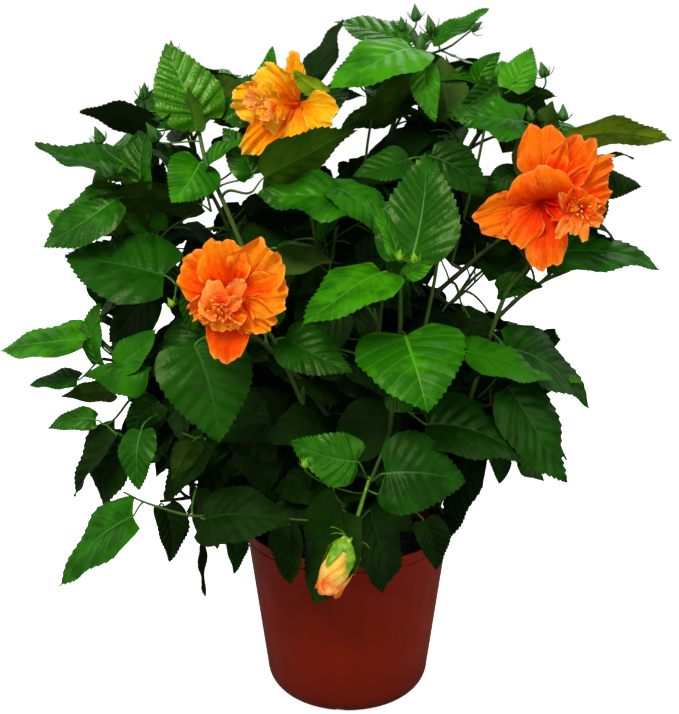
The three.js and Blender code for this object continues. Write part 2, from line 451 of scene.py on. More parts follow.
# the peach petals of the heart carry a stronger painted glow
PEACH = PetalPaint("peach", (248, 70, 8), (255, 120, 26), (255, 156, 50), (255, 186, 88), (255, 202, 120),
                   glow=0.2)
FURLED = PetalPaint("furled", (236, 238, 120), (250, 214, 84), (246, 96, 22), (255, 226, 130), (232, 62, 16))
PETAL_SLOTS = {SUNSET: 0, AMBER: 1, CORAL: 2, FURLED: 3, PEACH: 4}


@dataclass(frozen=True)
class PlainPaint:
    """A finish of two mottled colours with a fine grain."""

    name: str
    first: Colour
    second: Colour
    roughness: float
    grain: float
    depth: float

    def material(self) -> Material:
        """Mottled colour and roughness over a bumped grain.

        Returns:
            The finished material.
        """
        g = MaterialGraph(self.name)
        speck = g.noise(self.grain, 4.0, 0.7)
        colour = g.mix(g.between(g.noise(self.grain * 0.25), 0.32, 0.68), self.first, self.second)
        rough = g.between(speck, 0.3, 0.7, self.roughness - 0.08, self.roughness + 0.1)
        relief = g.bump(speck, self.depth, 0.8)
        return g.end(g.surface(Base_Color=colour, Roughness=rough, Normal=relief, Specular_IOR_Level=0.25))


BARK = PlainPaint("bark", (84, 84, 48), (52, 46, 26), 0.74, 420.0, 0.0012)
YOUNG_BARK = PlainPaint("young_bark", (50, 80, 20), (58, 64, 28), 0.6, 520.0, 0.0006)
TWIG = PlainPaint("twig", (50, 92, 14), (62, 76, 22), 0.55, 700.0, 0.0004)
STALK = PlainPaint("leaf_stalk", (62, 122, 14), (44, 94, 12), 0.46, 800.0, 0.0003)
CALYX = PlainPaint("calyx", (132, 178, 30), (76, 136, 14), 0.42, 500.0, 0.0006)
BUD_GREEN = PlainPaint("bud_green", (48, 104, 16), (28, 72, 10), 0.45, 500.0, 0.0006)
ANTHER = PlainPaint("anther", (255, 190, 40), (250, 150, 30), 0.7, 1600.0, 0.0004)
STIGMA = PlainPaint("stigma", (255, 176, 50), (255, 214, 120), 0.6, 1600.0, 0.0004)
CRUMB = PlainPaint("bark_crumb", (48, 34, 24), (24, 18, 14), 0.92, 600.0, 0.0014)
PERLITE = PlainPaint("perlite", (170, 164, 150), (120, 112, 100), 0.9, 900.0, 0.0008)


def pot_plastic() -> Material:
    """Moulded terracotta-brown plastic: satin, a little scuffed, with painted shade darkening it towards its
    foot.

    Returns:
        The finished material.
    """
    g = MaterialGraph("pot_plastic")
    long = g.node("ShaderNodeVectorMath", {0: g.place(), 1: (1.0, 1.0, 0.1)}, operation="MULTIPLY")
    streaks = g.noise(34.0, 3.0, 0.5, long)
    colour = g.mix(g.between(g.noise(9.0), 0.3, 0.7), (128, 27, 6), (140, 35, 10))
    colour = g.mix(g.between(streaks, 0.42, 0.78, 0.0, 0.22), colour, (104, 21, 6))
    # painted shade: the lowest 10 cm is darkened towards the foot
    level = g.node("ShaderNodeSeparateXYZ", {0: g.place()}, output=2)
    colour = g.mix(g.between(level, 0.1, 0.0, 0.0, 0.75), colour, (98, 19, 4))
    colour = g.mix(g.between(g.noise(240.0), 0.64, 0.8, 0.0, 0.12), colour, (150, 88, 66))
    rough = g.between(g.noise(30.0), 0.3, 0.7, 0.4, 0.5)
    relief = g.bump(g.noise(900.0, 2.0), 0.0002, 0.5, g.bump(streaks, 0.0004, 0.3))
    return g.end(g.surface(Base_Color=colour, Roughness=rough, Normal=relief, Specular_IOR_Level=0.2,
                           Specular_Tint=(1.0, 0.62, 0.5, 1.0)))


def potting_mix() -> Material:
    """Moist potting mix: near black, with paler fibre.

    Returns:
        The finished material.
    """
    g = MaterialGraph("potting_mix")
    grain = g.noise(500.0, 5.0, 0.75)
    colour = g.mix(g.between(grain, 0.45, 0.7), (22, 16, 12), (58, 42, 30))
    return g.end(g.surface(Base_Color=colour, Roughness=0.93, Normal=g.bump(grain, 0.004, 1.0)))


# ---------------------------------------------------------------- meshes


def link(name: str, data: Any) -> Object:
    """Makes an object of some data and links it to the scene.

    Args:
        name: the name of the object.
        data: its mesh, lamp or camera data, or None for an empty.

    Returns:
        The linked object.
    """
    made = bpy.data.objects.new(name, data)
    bpy.context.scene.collection.objects.link(made)
    return made


def into(collection: bpy.types.Collection, piece: Object) -> None:
    """Moves an object from the scene into a collection of forms."""
    bpy.context.scene.collection.objects.unlink(piece)
    collection.objects.link(piece)


def stand_for(piece: Object, nodes: Iterable[str] = ()) -> Object:
    """Has a piece ride on the plant's body and replace the solids it stands for.

    Args:
        piece: the finished piece.
        nodes: the solids it stands for, if any.

    Returns:
        The same piece.
    """
    if nodes:
        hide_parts(*nodes)
    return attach(piece, "root")


def evaluated_mesh(piece: Object) -> bpy.types.Mesh:
    """The mesh of an object as its modifiers leave it."""
    return bpy.data.meshes.new_from_object(piece.evaluated_get(bpy.context.evaluated_depsgraph_get()))


class Solid:
    """Vertices and faces that grow into one mesh."""

    def __init__(self) -> None:
        """Starts with nothing."""
        self.points: list[Points] = []
        self.faces: list[tuple[int, ...]] = []
        self.slots: list[int] = []
        self.creases: set[tuple[int, int]] = set()
        self.numbers: dict[str, list[Points]] = {}
        self.count = 0

    def add(self, points: Points, faces: Iterable[Sequence[int]], slot: int = 0,
            creases: Iterable[tuple[int, int]] = (), **numbers: Points) -> "Solid":
        """Adds a closed surface.

        Args:
            points: one row for each vertex.
            faces: indices into those rows, anticlockwise from outside.
            slot: the material slot of the faces.
            creases: pairs of vertices whose edge stays sharp.
            numbers: named values, one for each vertex.

        Returns:
            This solid.
        """
        faces = [tuple(int(i) + self.count for i in face) for face in faces]
        self.points.append(np.asarray(points, float))
        self.faces.extend(faces)
        self.slots.extend([slot] * len(faces))
        self.creases |= {(min(a, b) + self.count, max(a, b) + self.count) for a, b in creases}
        for name, values in numbers.items():
            self.numbers.setdefault(name, []).append(np.asarray(values, float))
        self.count += len(points)
        return self

    def add_blade(self, grid: Points, thickness: float, slot: int = 0, **values: Points) -> list:
        """Adds a thin blade whose two faces carry the same values.

        Args:
            grid: the grid of its upper face.
            thickness: how thick it is.
            slot: the material slot of its faces.
            values: named values over the grid.

        Returns:
            The grid cell and the side of each face.
        """
        points, faces, cells, rim = sheet(grid, thickness)
        doubled = {key: np.concatenate([v.ravel(), v[1:-1, 1:-1].ravel()]) for key, v in values.items()}
        self.add(points, faces, slot, rim, **doubled)
        return cells

    def build(self, name: str, materials: Sequence[Material], smooth: bool = True) -> Object:
        """Makes the object.

        Args:
            name: the object's name.
            materials: the material of each slot.
            smooth: whether the faces are shaded smooth.

        Returns:
            The linked object, at the origin.
        """
        mesh = bpy.data.meshes.new(name)
        mesh.from_pydata(np.vstack(self.points).tolist(), [], self.faces)
        for material in materials:
            mesh.materials.append(material)
        mesh.polygons.foreach_set("material_index", self.slots)
        mesh.polygons.foreach_set("use_smooth", [smooth] * len(self.faces))
        for key, parts in self.numbers.items():
            mesh.attributes.new(key, "FLOAT", "POINT").data.foreach_set("value", np.concatenate(parts))
        if self.creases:
            ends = np.zeros(len(mesh.edges) * 2, int)
            mesh.edges.foreach_get("vertices", ends)
            sharp = [tuple(sorted(pair)) in self.creases for pair in ends.reshape(-1, 2).tolist()]
            mesh.attributes.new("sharp_edge", "BOOLEAN", "EDGE").data.foreach_set("value", sharp)
        mesh.update()
        return link(name, mesh)


def sheet(grid: Points, thickness: float) -> tuple[Points, list, list, list]:
    """A thin closed blade from the grid of its upper face.

    Args:
        grid: rows by columns by three; rows run from base to tip, columns from left to right.
        thickness: how thick the blade is in its middle; its margin is sharp.

    Returns:
        Points, faces, the grid cell and side of each face, and the margin's edges.
    """
    rows, columns = grid.shape[:2]
    normal = np.cross(np.gradient(grid, axis=1), np.gradient(grid, axis=0))
    normal /= np.maximum(np.linalg.norm(normal, axis=2, keepdims=True), TINY)
    index = np.arange(rows * columns).reshape(rows, columns)
    below = index.copy()
    inner = (rows - 2) * (columns - 2)
    below[1:-1, 1:-1] = rows * columns + np.arange(inner).reshape(rows - 2, columns - 2)
    under = (grid - normal * thickness)[1:-1, 1:-1].reshape(-1, 3)
    faces, cells = [], []
    for r in range(rows - 1):
        for c in range(columns - 1):
            faces.append((index[r, c], index[r, c + 1], index[r + 1, c + 1], index[r + 1, c]))
            faces.append((below[r, c], below[r + 1, c], below[r + 1, c + 1], below[r, c + 1]))
            cells += [(r, c, True), (r, c, False)]
    rim = [*index[0], *index[1:, -1], *index[-1, -2::-1], *index[-2::-1, 0]]
    return np.vstack([grid.reshape(-1, 3), under]), faces, cells, list(zip(rim[:-1], rim[1:]))


def ring_faces(rings: int, sides: int) -> list[tuple[int, ...]]:
    """The faces of a closed body made of rings.

    Args:
        rings: how many rings there are.
        sides: how many points each ring has; a pole for each end comes after the last.

    Returns:
        The faces, side by side round the body.
    """
    faces, last = [], (rings - 1) * sides
    for k in range(sides):
        n = (k + 1) % sides
        faces += [(a + k, a + n, a + sides + n, a + sides + k) for a in range(0, last, sides)]
        faces += [(rings * sides, n, k), (rings * sides + 1, last + k, last + n)]
    return faces


def tube(path: Points, radii: Points, sides: int) -> Shape:
    """A closed tube along a path.

    Args:
        path: the points along its middle.
        radii: its radius at each point, or at each point and side.
        sides: how many sides it has.

    Returns:
        Points and faces.
    """
    tangents = np.gradient(path, axis=0)
    tangents /= np.maximum(np.linalg.norm(tangents, axis=1, keepdims=True), TINY)
    side = across_to(np.array((0.31, 0.87, 0.13)), tangents[0])
    angle = round_angles(sides)[:, None]
    rings = []
    for point, tangent, radius in zip(path, tangents, radii):
        side = across_to(side, tangent)
        spokes = np.cos(angle) * side + np.sin(angle) * np.cross(tangent, side)
        rings.append(point + np.reshape(radius, (-1, 1)) * spokes)
    return np.vstack(rings + [path[:1], path[-1:]]), ring_faces(len(path), sides)


def bent(flat: Points, heading: Callable[[Points], Points], twist: float = 0.0) -> Points:
    """Bends a blade along its length.

    Args:
        flat: points whose Y is the distance along the blade.
        heading: the rise of the blade at each distance, in radians.
        twist: how far the blade turns about its own length, in radians.

    Returns:
        The bent points.
    """
    x, y, z = (flat[..., i] for i in range(3))
    far = float(y.max())
    steps = np.linspace(min(0.0, float(y.min())), far, 160)
    angle, stride = heading(steps), np.gradient(steps)
    along, above = np.cumsum(np.cos(angle) * stride), np.cumsum(np.sin(angle) * stride)
    along -= np.interp(0.0, steps, along)
    above -= np.interp(0.0, steps, above)
    theta, spin = np.interp(y, steps, angle), twist * y / far
    x, z = x * np.cos(spin) - z * np.sin(spin), x * np.sin(spin) + z * np.cos(spin)
    ahead = np.interp(y, steps, along) - z * np.sin(theta)
    return np.stack([x, ahead, np.interp(y, steps, above) + z * np.cos(theta)], -1)


def frame_of(forward: Points, face: Points) -> Points:
    """The turn, as three columns, that takes +Y forward and +Z to the way a face looks.

    Args:
        forward: where +Y goes.
        face: the way the face looks, made square to it.

    Returns:
        A 3 by 3 turn.
    """
    y = unit(forward)
    z = across_to(face, y)
    return np.stack([np.cross(y, z), y, z], 1)


def leaning(axis: Points, radial: Points, lean: float) -> Points:
    """The turn of a blade that leans from an axis towards a radial direction, by an angle in radians."""
    return frame_of(axis * cos(lean) + radial * sin(lean), axis * sin(lean) - radial * cos(lean))


# ---------------------------------------------------------------- geometry node groups


class NodeRecipe:
    """A geometry node tree: built once, run on an object, and left as a plain mesh."""

    def __init__(self, name: str):
        """Starts a tree with a geometry in and a geometry out.

        Args:
            name: the name of the tree.
        """
        self.tree = bpy.data.node_groups.new(name, "GeometryNodeTree")
        for way in ("INPUT", "OUTPUT"):
            self.tree.interface.new_socket("Geometry", in_out=way, socket_type="NodeSocketGeometry")
        self.entry = self.tree.nodes.new("NodeGroupInput")
        self.start = self.entry.outputs[0]

    def setting(self, name: str, kind: str) -> Socket:
        """Adds a named input to the tree, as a socket to link from."""
        self.tree.interface.new_socket(name, in_out="INPUT", socket_type="NodeSocket" + kind)
        return self.entry.outputs[name]

    def node(self, kind: str, inputs: dict[Any, Any], output: Any = 0, **settings: Any) -> Socket:
        """Adds one node.

        Args:
            kind: the node's type.
            inputs: what feeds each input: a socket, or a constant.
            output: the output to return.
            settings: the node's own properties.

        Returns:
            The chosen output.
        """
        return add_node(self.tree, kind, inputs, settings).outputs[output]

    def named(self, name: str, kind: str = "FLOAT") -> Socket:
        """A named attribute as a socket."""
        return self.node("GeometryNodeInputNamedAttribute", {"Name": name}, "Attribute", data_type=kind)

    def set_forms(self, forms: Socket, points: Socket, **inputs: Any) -> Socket:
        """Sets one form of a collection on each point.

        Args:
            forms: the collection.
            points: the points.
            inputs: the turn, the size and the choice of form, named with _ for each space.

        Returns:
            The forms in their places.
        """
        picked = self.node("GeometryNodeCollectionInfo",
                           {"Collection": forms, "Separate Children": True, "Reset Children": True})
        fed = {key.replace("_", " "): value for key, value in inputs.items()}
        return self.node("GeometryNodeInstanceOnPoints",
                         {"Points": points, "Instance": picked, "Pick Instance": True, **fed})

    def paint(self, shape: Socket, material: Any, chosen: Any = True) -> Socket:
        """Gives the chosen faces of a shape a material."""
        fed = {"Geometry": shape, "Selection": chosen, "Material": material}
        return self.node("GeometryNodeSetMaterial", fed)

    def end(self, shape: Socket) -> "NodeRecipe":
        """Sends a geometry out of the tree."""
        add_node(self.tree, "NodeGroupOutput", {0: shape}, {})
        return self

    def run(self, base: Object, name: str, **settings: Any) -> Object:
        """Runs the tree.

        Args:
            base: the object that the tree starts from; it is removed.
            name: the name of the finished piece.
            settings: a value for each named input.

        Returns:
            A plain mesh object at the origin.
        """
        modifier = base.modifiers.new("recipe", "NODES")
        modifier.node_group = self.tree
        for item in self.tree.interface.items_tree:
            if item.in_out == "INPUT" and item.name in settings:
                modifier[item.identifier] = settings[item.name]
        mesh, old = evaluated_mesh(base), base.data
        bpy.data.objects.remove(base)
        bpy.data.meshes.remove(old)
        mesh.name = name
        return link(name, mesh)


def cloud_object(name: str, points: Points, edges: Sequence[tuple[int, int]] = ()) -> Object:
    """A linked object of bare points and edges for a recipe to start from.

    Args:
        name: the name of the object.
        points: where its points are.
        edges: pairs of points to join.

    Returns:
        The linked object.
    """
    mesh = bpy.data.meshes.new(name)
    mesh.from_pydata(np.asarray(points).tolist(), edges, [])
    return link(name, mesh)


def carry(base: Object, name: str, kind: str, values: Any, domain: str = "POINT") -> None:
    """Puts a named value on each point, or each face, of an object."""
    layer = base.data.attributes.new(name, kind, domain)
    layer.data.foreach_set("vector" if kind == "FLOAT_VECTOR" else "value", np.asarray(values).ravel())


class Strands:
    """Twigs and stalks: smooth tapering tubes that follow paths."""

    recipe: NodeRecipe | None = None

    def __init__(self, name: str, material: Material, sides: int):
        """Starts with no strands.

        Args:
            name: the name of the piece.
            material: its bark.
            sides: how many sides a tube has.
        """
        self.name, self.material, self.sides = name, material, sides
        self.paths: list[Points] = []
        self.widths: list[Points] = []

    def add(self, path: Points, thick: float, thin: float) -> None:
        """Adds a strand whose radius goes from thick to thin."""
        self.paths.append(np.asarray(path, float))
        self.widths.append(np.linspace(thick, thin, len(path)))

    @staticmethod
    def make_recipe() -> NodeRecipe:
        """Edges to curves, and curves to capped tubes as wide as each point says.

        Returns:
            The recipe, not yet painted.
        """
        made = NodeRecipe("tubes_along_paths")
        sides, finish = made.setting("Sides", "Int"), made.setting("Finish", "Material")
        curve = made.node("GeometryNodeMeshToCurve", {"Mesh": made.start})
        ring = made.node("GeometryNodeCurvePrimitiveCircle", {"Resolution": sides, "Radius": 1.0})
        skin = made.node("GeometryNodeCurveToMesh", {"Curve": curve, "Profile Curve": ring,
                                                     "Scale": made.named("thick"), "Fill Caps": True})
        smooth = made.node("GeometryNodeSetShadeSmooth", {"Geometry": skin})
        real = made.node("GeometryNodeRealizeInstances", {0: smooth})
        return made.end(made.paint(real, finish))

    def build(self) -> Object:
        """Makes all strands one mesh.

        Returns:
            The piece, in its place on the plant.
        """
        if Strands.recipe is None:
            Strands.recipe = self.make_recipe()
        edges, start = [], 0
        for path in self.paths:
            edges += [(i, i + 1) for i in range(start, start + len(path) - 1)]
            start += len(path)
        base = cloud_object(self.name + "_paths", np.vstack(self.paths), edges)
        carry(base, "thick", "FLOAT", np.concatenate(self.widths))
        return Strands.recipe.run(base, self.name, Sides=self.sides, Finish=self.material)


# ---------------------------------------------------------------- pot and soil


@dataclass
class Pot:
    """The nursery pot: tapering, faintly fluted, with a smooth lip over a groove."""

    segments: int = 192
    flutes: int = 24
    flute_depth: float = 0.0004
    lip: float = 0.0125
    groove: float = 0.0023
    wall: float = 0.0026
    rounding: float = 0.029
    foot_share: float = 0.7756
    widening: float = 0.2244
    notch: tuple[float, float] = (0.013, 0.013)
    rim: float = field(init=False)
    height: float = field(init=False)

    def __post_init__(self) -> None:
        """Takes the radius and the height of the rim from the pot's solid."""
        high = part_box("pot")[1]
        self.rim, self.height = high.x, high.z

    def radius(self, height: float) -> float:
        """The outer radius at a height."""
        return self.rim * (self.foot_share + self.widening * height / self.height)

    def profile(self) -> list[tuple[float, float, float]]:
        """Radius, height and share of fluting, from the middle of the foot round to the inside.

        Returns:
            The corners of the profile in order.
        """
        corner, edge = self.radius(self.rounding) - self.rounding, self.height - self.lip
        outside = [(corner + self.rounding * sin(a), self.rounding * (1 - cos(a)), 0.0)
                   for a in (pi / 2 * i / 12 for i in range(13))]
        fluted = [(self.radius(z), z, float(smoothstep(0.02, 0.05, z) * smoothstep(0.0, 0.03, edge - z)))
                  for z in np.linspace(self.rounding + 0.006, edge - 0.006, 12)]
        cut = ((0.0030, 0.0), (0.0022, 0.08), (0.0019, 0.85), (0.0015, 1.0), (0.0006, 1.0), (0.0002, 0.85),
               (-0.0002, -0.1), (-0.0012, -0.2))
        groove = [(self.radius(edge - d) - self.groove * share, edge - d, 0.0) for d, share in cut]
        half = self.wall / 2
        lip = [(self.radius(self.height - 0.0022), self.height - 0.0022, 0.0)]
        lip += [(self.rim - half + half * cos(a), self.height - 0.0013 + 0.0013 * sin(a), 0.0)
                for a in np.linspace(0.2, pi, 6)]
        inner = corner + self.rounding - self.wall
        inside = [(self.radius(z) - self.wall, z, 0.0)
                  for z in np.linspace(self.height - 0.006, self.rounding, 6)]
        floor = [(inner - self.rounding * 0.4, self.wall + 0.003, 0.0), (0.02, self.wall, 0.0)]
        return [(0.02, 0.0, 0.0)] + outside + fluted + groove + lip + inside + floor

    def build(self) -> Object:
        """Turns the profile, cuts the drain notches and gives the pot its plastic.

        Returns:
            The finished pot.
        """
        profile, angle = self.profile(), round_angles(self.segments)
        ripple = np.abs(np.sin(angle * self.flutes / 2.0)) ** 0.5 - 0.7
        rings = []
        for radius, height, share in profile:
            reach = radius + self.flute_depth * share * ripple
            level = np.full(self.segments, height)
            rings.append(np.stack([reach * np.sin(angle), -reach * np.cos(angle), level], 1))
        poles = np.array([(0.0, 0.0, 0.0), (0.0, 0.0, self.wall)])
        solid = Solid().add(np.vstack([*rings, poles]), ring_faces(len(profile), self.segments))
        shell = solid.build("pot_shell", [pot_plastic()])
        cutters = [self.cutter(aim(90.0 * i - 6.0)) for i in range(4)]
        for cutter in cutters:
            cut = shell.modifiers.new("notch", "BOOLEAN")
            cut.object, cut.solver = cutter, "EXACT"
        mesh = evaluated_mesh(shell)
        for old in (shell, *cutters):
            bpy.data.objects.remove(old)
        mesh.polygons.foreach_set("use_smooth", [True] * len(mesh.polygons))
        mesh.set_sharp_from_angle(angle=radians(40))
        return stand_for(link("pot_fine", mesh), ["pot"])

    def cutter(self, out: Points) -> Object:
        """A low arch that runs out through the edge of the foot.

        Args:
            out: the way from the middle to the notch.

        Returns:
            The solid to cut away.
        """
        side, (width, height) = np.cross(UP, out), self.notch
        ring = [side * width / 2 - UP * 0.01]
        ring += [side * cos(a) * width / 2 + UP * sin(a) * height for a in np.linspace(0.0, pi, 13)]
        ring += [-side * width / 2 - UP * 0.01]
        n = len(ring)
        faces = [tuple(range(n - 1, -1, -1)), tuple(range(n, 2 * n))]
        faces += [((i + 1) % n, (i + 1) % n + n, i + n, i) for i in range(n)]
        ends = [point + out * reach for reach in (0.062, 0.125) for point in ring]
        return Solid().add(np.array(ends), faces).build("notch_cutter", [], smooth=False)


@dataclass
class Soil:
    """The potting mix: a lumpy bed strewn with bark crumbs and a little perlite."""

    pot: Pot
    rings: int = 34
    segments: int = 96
    lump: float = 0.003
    depth: float = 0.03
    crumbs_per_square_metre: float = 16000.0
    crumb_size: tuple[float, float] = (0.0008, 0.0034)
    perlite_share: float = 0.06

    def build(self) -> None:
        """Makes the bed and strews the crumbs."""
        top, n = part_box("soil")[1].z, self.segments
        rng = np.random.default_rng(41)
        waves = rng.uniform(60.0, 220.0, (9, 2)) * rng.choice((-1, 1), (9, 2))
        phases = rng.uniform(0.0, 6.3, 9)
        edge = self.pot.radius(top - 0.006) - self.pot.wall + 0.0004
        points = []
        for share in (r / self.rings for r in range(1, self.rings + 1)):
            for a in (2.0 * pi * k / n for k in range(n)):
                x, y = edge * share * sin(a), -edge * share * cos(a)
                lumps = sum(sin(w[0] * x + w[1] * y + p) for w, p in zip(waves, phases)) / 9.0
                points.append((x, y, top - 0.003 - 0.003 * share**2 + self.lump * lumps * (1.2 - share)))
        inset = (self.pot.radius(top - self.depth) - self.pot.wall - 0.001) / edge
        points += [(p[0] * inset, p[1] * inset, top - self.depth) for p in points[-n:]]
        points += [(0.0, 0.0, top - 0.004), (0.0, 0.0, top - self.depth)]
        faces = [(face[0], *face[:0:-1]) for face in ring_faces(self.rings + 1, n)]
        bed = Solid().add(np.array(points), faces).build("soil_bed", [potting_mix()])
        stand_for(bed, ["soil"])
        upper = [face for face in faces if max(face) < self.rings * n]
        base = Solid().add(np.array(points), upper).build("soil_top", [])
        crumbs = self.make_recipe().run(
            base, "soil_crumbs", Forms=self.crumb_forms(), Density=self.crumbs_per_square_metre,
            Crumb=CRUMB.material(), Perlite=PERLITE.material(),
        )
        stand_for(crumbs)

    def crumb_forms(self) -> bpy.types.Collection:
        """A few broken lumps to strew.

        Returns:
            A collection of the lumps.
        """
        forms = bpy.data.collections.new("crumb_forms")
        ball = np.array([(cos(a) * sin(b), sin(a) * sin(b), cos(b))
                         for b in np.linspace(0.35, pi - 0.35, 4) for a in round_angles(7)])
        ball = np.vstack([ball, [(0, 0, 1), (0, 0, -1)]])
        for i in range(5):
            rng = np.random.default_rng(60 + i)
            pulls = [unit(rng.normal(size=3)) for _ in range(4)]
            push = sum(np.abs(ball @ pull) ** 2 * rng.uniform(-0.5, 0.5) for pull in pulls)
            squash = np.array((1.0, rng.uniform(0.5, 0.9), rng.uniform(0.3, 0.7)))
            faces = [face[::-1] for face in ring_faces(4, 7)]
            body = Solid().add(ball * (0.8 + push[:, None]) * squash, faces)
            into(forms, body.build(f"crumb_form_{i}", [], smooth=False))
        return forms

    def make_recipe(self) -> NodeRecipe:
        """Scatters crumbs over a surface and turns a few of them to perlite.

        Returns:
            The finished recipe.
        """
        made = NodeRecipe("strewn_crumbs")
        forms, density = made.setting("Forms", "Collection"), made.setting("Density", "Float")
        crumb, perlite = made.setting("Crumb", "Material"), made.setting("Perlite", "Material")
        spots = made.node("GeometryNodeDistributePointsOnFaces",
                          {"Mesh": made.start, "Density": density, "Seed": 7})
        spin = made.node("FunctionNodeRandomValue", {0: (0.0, 0.0, 0.0), 1: (6.3, 6.3, 6.3), "Seed": 3},
                         data_type="FLOAT_VECTOR")
        least, most = self.crumb_size
        bounds = {2: least, 3: most, "Seed": 5}
        size = made.node("FunctionNodeRandomValue", bounds, output=1, data_type="FLOAT")
        rotation = made.node("FunctionNodeEulerToRotation", {0: spin})
        placed = made.set_forms(forms, spots, Rotation=rotation, Scale=size)
        chance = made.node("FunctionNodeRandomValue", {"Probability": self.perlite_share, "Seed": 9},
                           output=3, data_type="BOOLEAN")
        kept = made.node("GeometryNodeStoreNamedAttribute",
                         {"Geometry": placed, "Name": "pale", "Value": chance},
                         data_type="BOOLEAN", domain="INSTANCE")
        real = made.node("GeometryNodeRealizeInstances", {0: kept})
        return made.end(made.paint(made.paint(real, crumb), perlite, made.named("pale", "BOOLEAN")))


# ---------------------------------------------------------------- limbs


@dataclass
class Limb:
    """A stem, bough or twig: the points along its middle and its radius at each."""

    name: str
    path: Points
    radii: Points

    def direction(self, index: int) -> Points:
        """Which way it runs at one of its points."""
        low, high = max(index - 1, 0), min(index + 1, len(self.path) - 1)
        return unit(self.path[high] - self.path[low])


def read_limb(node: str, cuts: int = 9) -> Limb:
    """Reads a limb from its solid, by slicing it across its length.

    Args:
        node: the solid's name.
        cuts: how many slices are made.

    Returns:
        The limb, with a point of its middle line and a radius for each slice.
    """
    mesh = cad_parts[node].data
    points = np.array([v.co[:] for v in mesh.vertices])
    edges = np.array([e.vertices[:] for e in mesh.edges])
    centre = points.mean(0)
    axis = np.linalg.svd(points - centre, full_matrices=False)[2][0]
    axis = axis if axis[2] > 0 else -axis
    along = (points - centre) @ axis
    a, b = along[edges[:, 0]], along[edges[:, 1]]
    rings = []
    for level in np.linspace(along.min() + 0.0015, along.max() - 0.0015, cuts):
        cut = (a - level) * (b - level) < 0
        share = ((level - a[cut]) / (b[cut] - a[cut]))[:, None]
        rings.append(points[edges[cut, 0]] * (1 - share) + points[edges[cut, 1]] * share)
    limb = Limb(node, np.array([ring.mean(0) for ring in rings]), np.zeros(cuts))
    for i, ring in enumerate(rings):
        heading, spread = limb.direction(i), ring - limb.path[i]
        spread = spread - (spread @ heading)[:, None] * heading
        limb.radii[i] = np.linalg.norm(spread, axis=1).mean()
    return limb


@dataclass
class Limbs:
    """The stems that rise from the soil and the boughs that leave them."""

    masses: list["Mass"]
    sides: int = 14
    stride: float = 0.004
    stems: list[Limb] = field(init=False)
    boughs: dict[str, Limb] = field(init=False)

    def __post_init__(self) -> None:
        """Reads the limbs, roots each bough in its stem and runs it on into its mass."""
        self.stems = [read_limb(name) for name in sorted(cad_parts) if name.startswith("stem_")]
        self.boughs = {mass.name: self.rooted(mass) for mass in self.masses}

    def rooted(self, mass: "Mass") -> Limb:
        """A bough that starts inside its stem and ends in the middle of its mass.

        Args:
            mass: the mass of leaves that the bough carries.

        Returns:
            The bough.
        """
        limb = read_limb(f"bough_{mass.name}")
        path, radii = limb.path, limb.radii
        spots = np.vstack([through(stem.path) for stem in self.stems])
        gaps = [np.linalg.norm(spots - end, axis=1) for end in (path[0], path[-1])]
        if gaps[0].min() > gaps[1].min():
            path, radii, gaps = path[::-1], radii[::-1], gaps[::-1]
        inward = mass.centre - path[-1]
        reach = float(np.linalg.norm(inward))
        arriving = (unit(inward) + mass.outward * 0.6) * reach
        inner = arc(path[-1], unit(path[-1] - path[-2]) * reach, mass.centre, arriving, 4)[1:]
        points = np.vstack([[spots[gaps[0].argmin()]], path, inner])
        ending = np.linspace(radii[-1], 0.0017, len(inner) + 1)[1:]
        widths = np.concatenate([[radii[0] * 1.15], radii, ending])
        fine = through(points, 4)
        even, coarse = np.linspace(0, 1, len(fine)), np.linspace(0, 1, len(points))
        return Limb(limb.name, fine, np.interp(even, coarse, widths))

    def barked(self, limb: Limb, rng: Chance) -> Shape:
        """A limb with the relief of its bark: shallow ridges, leaf scars and an uneven girth.

        Args:
            limb: the limb.
            rng: the source of chance.

        Returns:
            Points and faces.
        """
        path = limb.path if len(limb.path) > 20 else through(limb.path)
        steps = distances(path)
        even = np.linspace(0.0, steps[-1], max(int(steps[-1] / self.stride), 8))
        middle = np.stack([np.interp(even, steps, path[:, i]) for i in range(3)], 1)
        radii = np.interp(even / steps[-1], np.linspace(0, 1, len(limb.radii)), limb.radii)
        angle, t = round_angles(self.sides)[None, :], even[:, None]
        relief = sum(
            rng.uniform(0.02, 0.05) * np.sin(k * angle + t * rng.uniform(-60, 60) + rng.uniform(0, 6.3))
            for k in (1, 2, 3, 5)
        )
        scar, turn = rng.uniform(0.01, 0.03), rng.uniform(0.0, 6.3)
        while scar < steps[-1]:
            facing = np.cos((angle - turn) / 2.0) ** 6
            relief = relief + 0.3 * facing * np.exp(-(((t - scar) / 0.0035) ** 2))
            relief = relief + 0.07 * np.exp(-(((t - scar) / 0.0025) ** 2))
            scar, turn = scar + rng.uniform(0.016, 0.034), turn + GOLDEN_ANGLE
        return tube(middle, radii[:, None] * (1.0 + relief), self.sides)

    def build(self) -> None:
        """Makes the stems one piece and the boughs another."""
        rng = np.random.default_rng(5)
        kinds = (("stem", self.stems, BARK), ("bough", [*self.boughs.values()], YOUNG_BARK))
        for slot, limbs, bark in kinds:
            solid = Solid()
            for limb in limbs:
                solid.add(*self.barked(limb, rng))
            piece = solid.build(f"{slot}s_barked", [bark.material()])
            stand_for(piece, [limb.name for limb in limbs])
            log.info("%s: %d", piece.name, len(limbs))


# ---------------------------------------------------------------- leaves


